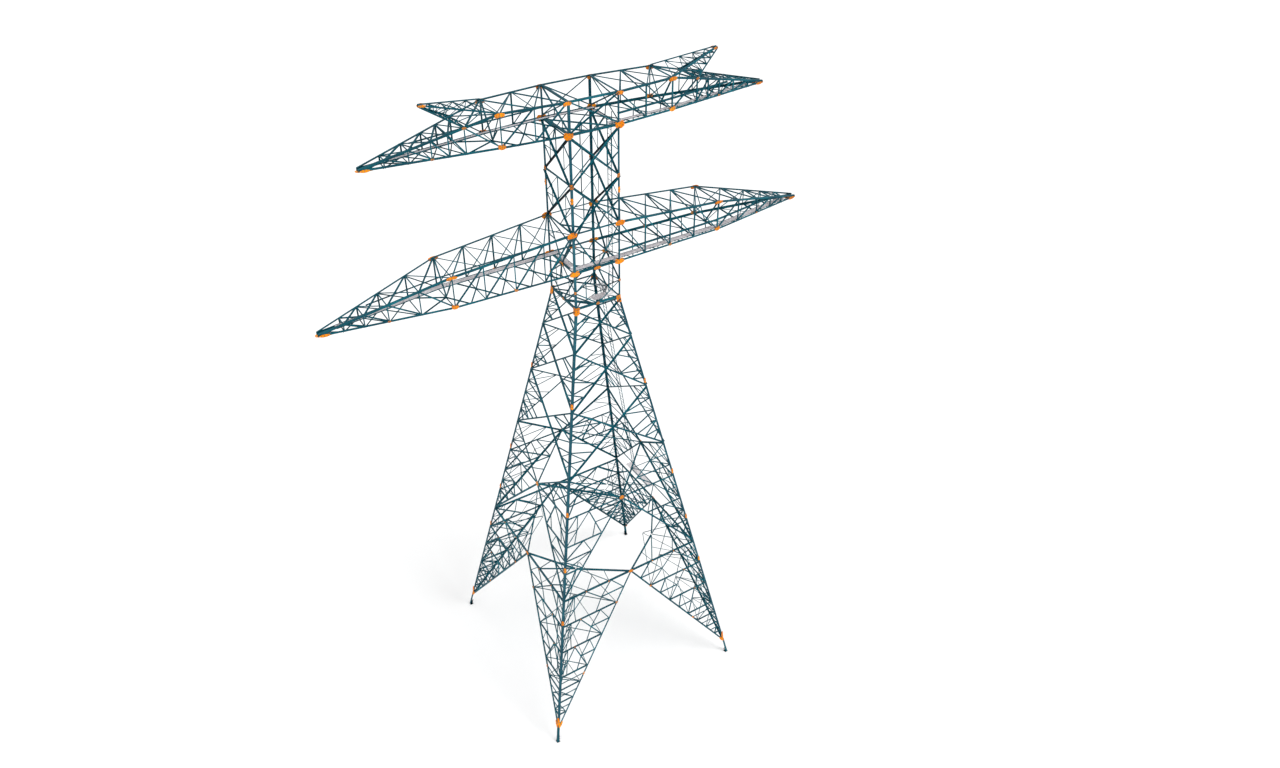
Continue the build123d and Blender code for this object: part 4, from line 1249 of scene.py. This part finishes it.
add_behind("node", 0.0, CROSS_Z, (0.165, 0.135))
add_behind("node", 0.0, PORTAL_Z, (0.180, 0.095))
for hand in (1, -1):
    a, z = chord_at(TIERS[1])
    add_behind("node", hand * a, z, (0.105, 0.075))
for share in (1 / 3, 2 / 3):
    for hand in (-1, 1):
        add_behind("node", hand * half(PORTAL_Z) * share, PORTAL_Z, (0.060, 0.045))
for tier in TIERS[1:3]:
    for hand in (-1, 1):
        a, z = between(leg_at(tier), chord_at(tier), 1 / 3)
        add_behind("node", hand * a, z, (0.055, 0.045))
for hand in (-1, 1):
    a, z = chord_at((TIERS[3] + TIERS[4]) / 2)
    add_behind("edge", hand * a, z, (0.050, 0.110), *chord_axes(hand))
frame_corner = Vector((0, -CAGE_HALF + 0.085, LOWER_Z + 0.012 + PLATE / 2))
side_plates.add("node", frame_corner, RIGHT, Vector((0, 1, 0)), 0.200, 0.130, UP)
for z, width, height in ((LOWER_Z + 0.010, 0.220, 0.110), (WAIST_Z + 0.045, 0.120, 0.085)):
    middle = cage_point(0.0, z) - OUTWARD * (PLATE / 2 - 0.002)
    side_plates.add("node", middle, RIGHT, UP, width, height, OUTWARD)
raise_plates("side_plates", side_plates.copy_turned(*EVERYWHERE), "side_gussets")

# %% Plates of the crossarms
PAIR_BEHIND = 0.022
PAIR_LIFT = 0.03
PAIR_GAP = 0.006


def run_of(arm, x):
    """The way in which the side of an arm runs near x."""
    d = 0.1
    return Vector((2 * d, arm.half(x - d) - arm.half(x + d), 0)) if x > CAGE_HALF + d else RIGHT


def arm_plates(arm, spots):
    """Plates on both sides of the east arm. A spot is its place along x, its level and its size."""
    plates = Plates()
    for x, z, width, height in spots:
        run = run_of(arm, x)
        for hand in (-1, 1):
            across = Vector((run.x, -hand * abs(run.y), 0)).normalized()
            facing = Vector((-hand * across.y, hand * across.x, 0))
            middle = Vector((x, hand * arm.half(max(x, CAGE_HALF)), z)) + facing * PLATE / 2
            plates.add("node", middle, across, UP, width, height, facing)
            if x <= arm.knee:
                lift = UP * (PAIR_LIFT if z < arm.z + 0.3 else -PAIR_LIFT)
                for side in (-1, 1):
                    aside = RIGHT * side * (width / 4 + PAIR_GAP)
                    inner = middle - facing * PAIR_BEHIND + lift + aside
                    plates.add("node", inner, across, UP, width / 2, height * 0.9, facing)
    return plates


root_x = CAGE_HALF + 0.012
arm_spots = {"joint": ((LOWER_ARM, ((root_x - 0.03, LOWER_Z + 0.002, 0.310, 0.140),
                                    (root_x, LOWER_TOP_Z - 0.03, 0.300, 0.165))),
                       (UPPER_ARM, ((root_x, UPPER_Z + 0.005, 0.280, 0.180),
                                    (root_x, UPPER_TOP_Z - 0.045, 0.225, 0.095)))),
             "web": ((LOWER_ARM, ((LOWER_ARM.knee, LOWER_Z + 0.035, 0.190, 0.110),
                                  (LOWER_ARM.knee, LOWER_ARM.tops[1][1] - 0.03, 0.290, 0.085),
                                  (LOWER_ARM.inner[2], LOWER_Z + 0.025, 0.100, 0.070),
                                  (LOWER_ARM.outer[2], LOWER_Z + 0.025, 0.085, 0.060),
                                  (LOWER_ARM.tip - 0.160, LOWER_Z + 0.010, 0.275, 0.082))),
                     (UPPER_ARM, ((UPPER_ARM.knee, UPPER_Z + 0.035, 0.200, 0.115),
                                  (UPPER_ARM.knee, UPPER_TOP_Z - 0.045, 0.265, 0.100),
                                  (UPPER_ARM.outer[1], UPPER_ARM.top(UPPER_ARM.outer[1]) - 0.02,
                                   0.110, 0.070),
                                  (UPPER_ARM.outer[3], UPPER_Z + 0.025, 0.085, 0.060),
                                  (UPPER_ARM.tip - 0.150, UPPER_Z + 0.010, 0.250, 0.072))))}
for kind, node in (("joint", "arm_joint_gussets"), ("web", "arm_gussets")):
    both = Plates()
    for arm, spots in arm_spots[kind]:
        both.take(arm_plates(arm, spots))
    raise_plates(f"arm_{kind}_plates", both.copy_turned(0, 2), node)

# %% Plates of the horns and the arm tips
HORN_PLATE = (0.185, 0.066)
HORN_PLATE_IN = 0.085
horn_plates = Plates()
knee, _, apex, _ = horn_points()
run = apex - knee
run.z = 0
run.normalize()
for hand in (-1, 1):
    across = Vector((run.x, run.y * -hand, 0))
    facing = Vector((-hand * across.y, hand * across.x, 0))
    y = (apex.y - HORN_PLATE_IN * run.y / run.x) * -hand
    middle = Vector((apex.x - HORN_PLATE_IN, y, HORN_Z - 0.05)) + facing * PLATE
    horn_plates.add("node", middle, across, UP, *HORN_PLATE, facing)
raise_plates("horn_tip_plates", horn_plates.copy_turned(0, 2))
for name in ("lower_arm_tips", "upper_arm_tips"):
    for slot in frame["nodes"][name].material_slots:
        slot.material = plate_paint

# %% [markdown]
# ## Walkways
# Two narrow gratings run from tip to tip of the crossarms, so that a fitter can reach the
# insulators. Each lies between two angle runners on short bearers, with a handrail bolted to the
# side posts. A grating is a row of thin bars on edge, with a rod across them every few
# centimetres. The bars are modelled one by one, so that the ground shows through between them.

# %% Gratings
WALK_W = 0.266
WALK_EDGE = CAGE_HALF - 0.084
DECK_T = 0.012
GRATINGS = {"lower": (0.030, 0.190), "upper": (0.050, 0.130)}
BEARING_T = 0.006
BEARING_H = 0.009
ROD_T = 0.006
ROD_STEP = 0.038
BAR_STEP = 0.0152
BEARER_STEP = 0.45


class Walk:
    """Gratings and the steel that carries them, laid along straight strips."""

    def __init__(self):
        self.grating = []
        self.steel = Steelwork()

    def grate(self, start, end, inward, z, limits, spread=1):
        """Bearing bars and cross rods between two distances from the line start-end."""
        along = end - start
        unit = along.normalized()
        side = UP.cross(unit)
        near, far = limits
        count = round((far - near) / BAR_STEP / spread)
        for k in range(count + 1):
            middle = (start + end) / 2 + inward * (near + (far - near) * k / count)
            depth = DECK_T if k in (0, count) else BEARING_H
            middle.z = z + DECK_T - depth / 2
            self.grating.append(columns(along, side * BEARING_T, UP * depth, middle))
        step = ROD_STEP * spread
        for k in range(int(along.length / step)):
            middle = start + unit * step * (k + 0.5) + inward * (near + far) / 2
            middle.z = z + DECK_T - ROD_T / 2
            across = inward * (far - near)
            self.grating.append(columns(across, UP.cross(inward) * ROD_T, UP * ROD_T, middle))

    def run(self, start, end, inward, z, limits):
        """A stretch of walkway: grating, outer stringer, inner runner and bearers."""
        self.grate(start, end, inward, z, limits)
        deck = UP * DECK_T
        for offset, width in ((0.008, 0.016), (limits[1] + 0.010, 0.020)):
            aside = inward * offset + deck
            self.steel.bar(start + aside, end + aside, width, UP, bolts=0)
        count = max(round((end - start).length / BEARER_STEP), 1)
        for k in range(count):
            foot = start + (end - start) * (k + 0.5) / count
            self.steel.bar(foot, foot + inward * (limits[1] + 0.02), FINE_B, UP)

    def turned(self, quarter):
        other = Walk()
        other.grating = turned(self.grating, quarter)
        other.steel = self.steel.copy_turned(quarter)
        return other


for name, (near, far) in GRATINGS.items():
    print(name, "walkway:", round((far - near) / BAR_STEP) + 1, "bars across")

# %% Raise the walkways
RAIL_H = 0.32
RAIL_B = 0.046
RAIL_SHARE = 0.60
WALK_INSET = 0.012


def handrail(arm, steel):
    """A bar along the south side posts, from the cage past the knee."""
    rail_end = arm.knee + (arm.tip - arm.knee) * RAIL_SHARE
    rail = [arm.low_point(x, RAIL_H) for x in (CAGE_HALF - 0.03, arm.knee, rail_end)]
    for start, head in pairwise(rail):
        facing = (head - start).cross(UP).normalized()
        steel.bar(start, head, RAIL_B, facing, RAIL_B, bolts=2)


def arm_walk(arm, end_share):
    """The walkway beside the south chord of an east arm."""
    z = arm.z + CHORD_B
    end = arm.knee + (arm.tip - arm.knee) * end_share
    points = [Vector((CAGE_HALF, -WALK_EDGE, z))]
    points += [Vector((x, WALK_INSET - arm.half(x), z)) for x in (arm.knee, end)]
    walk = Walk()
    for start, head in pairwise(points):
        walk.run(start, head, -OUTWARD, z, GRATINGS[arm.name])
    handrail(arm, walk.steel)
    return walk


def cage_walk(arm):
    """Across the cage along its south side, and along its west side to the other arm."""
    inside = CAGE_HALF - 0.0173
    turn_y = WALK_W - WALK_EDGE
    z = arm.z + CHORD_B
    walk = Walk()
    for start, end, inward in (((CAGE_HALF, -WALK_EDGE), (-CAGE_HALF, -WALK_EDGE), (0, 1)),
                               ((-inside, turn_y), (-inside, -turn_y), (1, 0)),
                               ((-CAGE_HALF, WALK_EDGE), (WALK_W - inside, WALK_EDGE), (0, -1))):
        walk.run(Vector((*start, z)), Vector((*end, z)), Vector((*inward, 0)), z,
                 GRATINGS[arm.name])
    return walk


for arm, end_share, quarter in ((LOWER_ARM, 0.86, 0), (UPPER_ARM, 0.83, 2)):
    east = arm_walk(arm, end_share)
    parts = [east, east.turned(2), cage_walk(arm).turned(quarter)]
    grating = [place for part in parts for place in part.grating]
    piece = stamped(arm.name + "_walkway_grating", flat_pattern, grating, galvanized)
    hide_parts(arm.name + "_walkway")
    raise_steel(arm.name + "_walkway_runners", merged(*(part.steel for part in parts)))

# %% [markdown]
# ## Platforms and ladders
# A ladder climbs the inner side of the east face from a small platform in the K panels to another
# one at the waist, and a second ladder goes on from there through the cage. The platforms are
# gratings like those of the walkways. Rails are flat bars, and a rung is a round bar whose ends
# are inset and pulled out, so that they are as small as the holes in the rails.

# %% Platforms
REST_Y = (-0.34, 1.21)
REST_GAP = 0.004
BEARER_DEPTH = 0.018
PATCH_Y = -0.43
WEST, NORTH = (-1, 0), (0, 1)


def platform(node, strips, z):
    """A grating in strips. A spread above 1 sets the bars of a strip wider apart."""
    walk = Walk()
    for start, end, inward, spread in strips:
        walk.grate(Vector((*start, z)), Vector((*end, z)), Vector((*inward, 0)), z,
                   (0.0, WALK_W), spread)
    piece = stamped(node + "_grating", flat_pattern, walk.grating, galvanized)
    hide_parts(node)
    print(node, "has", len(walk.grating), "bars")


rest_z = K_TIERS[3]
rest_x = half(rest_z) - BEARER_DEPTH - REST_GAP
rest_strip = ((rest_x, REST_Y[0]), (rest_x, REST_Y[1]), WEST, 1)
platform("rest_platform", [rest_strip], rest_z - DECK_T / 2)
bearer_reach = half(HEEL_Z) * (CROSS_Z - rest_z) / (CROSS_Z - HEEL_Z)
bearer = Steelwork()
bearer.bar(on_side(-bearer_reach, rest_z), on_side(bearer_reach, rest_z), WEB_B, SLOPE_OUT,
           BEARER_DEPTH, bolts=2)
raise_steel("rest_platform_bearer", bearer.copy_turned(1))
waist_low, waist_high = low("waist_platform"), high("waist_platform")
patch_y = PATCH_Y - WALK_W / 2
waist_strips = [((waist_high.x, waist_high.y), (waist_high.x, waist_low.y), WEST, 3),
                ((waist_high.x - WALK_W, patch_y), (waist_low.x, patch_y), NORTH, 1)]
platform("waist_platform", waist_strips, waist_low.z)

# %% Ladders
def rung():
    """A round bar along +Z, a metre long and thick, with a smaller pressed end at each side."""
    deselect()
    bpy.ops.mesh.primitive_cylinder_add(vertices=8, radius=0.5, depth=1)
    bar = bpy.context.object
    bpy.ops.object.mode_set(mode="EDIT")
    choose(bar, "faces", lambda f: abs(f.normal.z) > 0.9)
    bpy.ops.mesh.inset(thickness=0.14, use_individual=True)
    bpy.ops.mesh.extrude_faces_move(TRANSFORM_OT_shrink_fatten={"value": 0.02})
    bpy.ops.object.mode_set(mode="OBJECT")
    return bar


rung_pattern = rung()
LADDER_W = 0.200
LADDER_RAIL = (0.022, 0.006)
RUNG_STEP = 0.150
RUNG_D = 0.012


def ladder(name, foot, head, facing):
    """Two rails and their rungs, lying in a side whose outward direction is facing."""
    along = (head - foot).normalized()
    across = facing.cross(along).normalized()
    length = (head - foot).length
    deep, thick = LADDER_RAIL
    rails = [columns(along * length, facing * deep, along.cross(facing) * thick,
                     (foot + head) / 2 + across * LADDER_W * hand) for hand in (-0.5, 0.5)]
    rungs = [columns(facing.cross(across) * RUNG_D, facing * RUNG_D, across * LADDER_W,
                     foot + along * RUNG_STEP * k) for k in range(1, int(length / RUNG_STEP))]
    rail_piece = stamped(name + "_rails", flat_pattern, rails, tower_paint)
    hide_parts(name)
    stamped(name + "_rungs", rung_pattern, rungs, tower_paint)
    print(name, "has", len(rungs), "rungs")


EAST_OUT = Vector((1, 0, LEAN)).normalized()
LADDER_DEPTH = 0.030
FOOT_Y, HEAD_Y, CAGE_LADDER_Y = 1.060, 0.375, -0.275
ends = [Vector((half(z), y, z)) - EAST_OUT * LADDER_DEPTH
        for y, z in ((FOOT_Y, K_TIERS[3] + WEB_B / 2 + DECK_T), (HEAD_Y, WAIST_Z - 0.010))]
ladder("body_ladder", *ends, EAST_OUT)
ends = [Vector((CAGE_HALF - LADDER_DEPTH, CAGE_LADDER_Y, end("cage_ladder").z))
        for end in (low, high)]
ladder("cage_ladder", *ends, RIGHT)

# %% [markdown]
# ## Putting away
# The patterns stand at the origin, where they were modelled. Each piece has its own copies of
# them, so they can go before the camera looks.

# %% Put the patterns away
patterns = (angle_pattern, bolt_pattern, flat_pattern, rung_pattern, *plate_patterns.values())
for pattern in patterns:
    bpy.data.objects.remove(pattern)
print(len(patterns), "patterns put away")

# %% [markdown]
# ## Camera
# The tower is seen from above and from the south-west, so that the gratings show. A fairly wide
# lens close by makes the top look large and the feet small. Long clipping keeps the floor whole.

# %% Camera
camera_data = bpy.data.cameras.new("view")
camera = bpy.data.objects.new("view", camera_data)
bpy.context.scene.collection.objects.link(camera)
camera_data.lens = 26.778
camera_data.sensor_width = 36.0
camera_data.clip_end = 500.0
camera.location = (-12.0896, -21.924, 30.7413)
camera.rotation_euler = (radians(53.4005), radians(-0.4691), radians(-32.4036))
bpy.context.scene.camera = camera
print("camera stands at", tuple(round(v, 2) for v in camera.location))

# %% [markdown]
# ## Floor and light
# The stage is plain: a pale floor, a white sky and two broad suns, at a level at which a colour
# comes out about as it is written. Thin steel would drown in a glare, so the sky and the floor
# are only made whiter for what the camera sees directly, and not for the light on the steel.

# %% Floor and light
FLOOR_SIZE = 400.0
FLOOR_GREY = 0.9
FLOOR_GLOW = 0.03
SKY_LIGHT = 0.82


def seen_directly(made):
    """1 for what the camera, a mirror or a glass sees, 0 for the light on the object."""
    path = made.new("LightPath")
    seen = made.maths("MAXIMUM", path.outputs["Is Camera Ray"], path.outputs["Is Glossy Ray"])
    return made.maths("MAXIMUM", seen, path.outputs["Is Transmission Ray"])


bpy.ops.mesh.primitive_plane_add(size=FLOOR_SIZE, location=(0, 0, 0))
floor = bpy.context.object
floor.name = "floor"
floor_paint = bpy.data.materials.new("pale floor")
made = Nodes(floor_paint)
skin = made.nodes["Principled BSDF"].inputs
skin["Base Color"].default_value = (FLOOR_GREY, FLOOR_GREY, FLOOR_GREY, 1)
skin["Roughness"].default_value = 0.9
skin["Emission Color"].default_value = (1, 1, 1, 1)
made.wire(made.maths("MULTIPLY", seen_directly(made), FLOOR_GLOW), skin["Emission Strength"])
floor.data.materials.append(floor_paint)


def sun(name, strength, softness, tilt, turn):
    data = bpy.data.lights.new(name, "SUN")
    data.energy = strength
    data.angle = radians(softness)
    lamp = bpy.data.objects.new(name, data)
    lamp.rotation_euler = (radians(tilt), 0, radians(turn))
    bpy.context.scene.collection.objects.link(lamp)


sun("key", 1.4, 30.0, 40.0, 30.0)
sun("fill", 0.5, 40.0, 60.0, -70.0)
world = bpy.data.worlds.new("studio")
bpy.context.scene.world = world
made = Nodes(world)
sky = made.nodes["Background"].inputs
sky["Color"].default_value = (1, 1, 1, 1)
glow = made.maths("MULTIPLY_ADD", seen_directly(made), 1.0 - SKY_LIGHT, SKY_LIGHT)
made.wire(glow, sky["Strength"])
bpy.context.scene.view_settings.view_transform = "Standard"
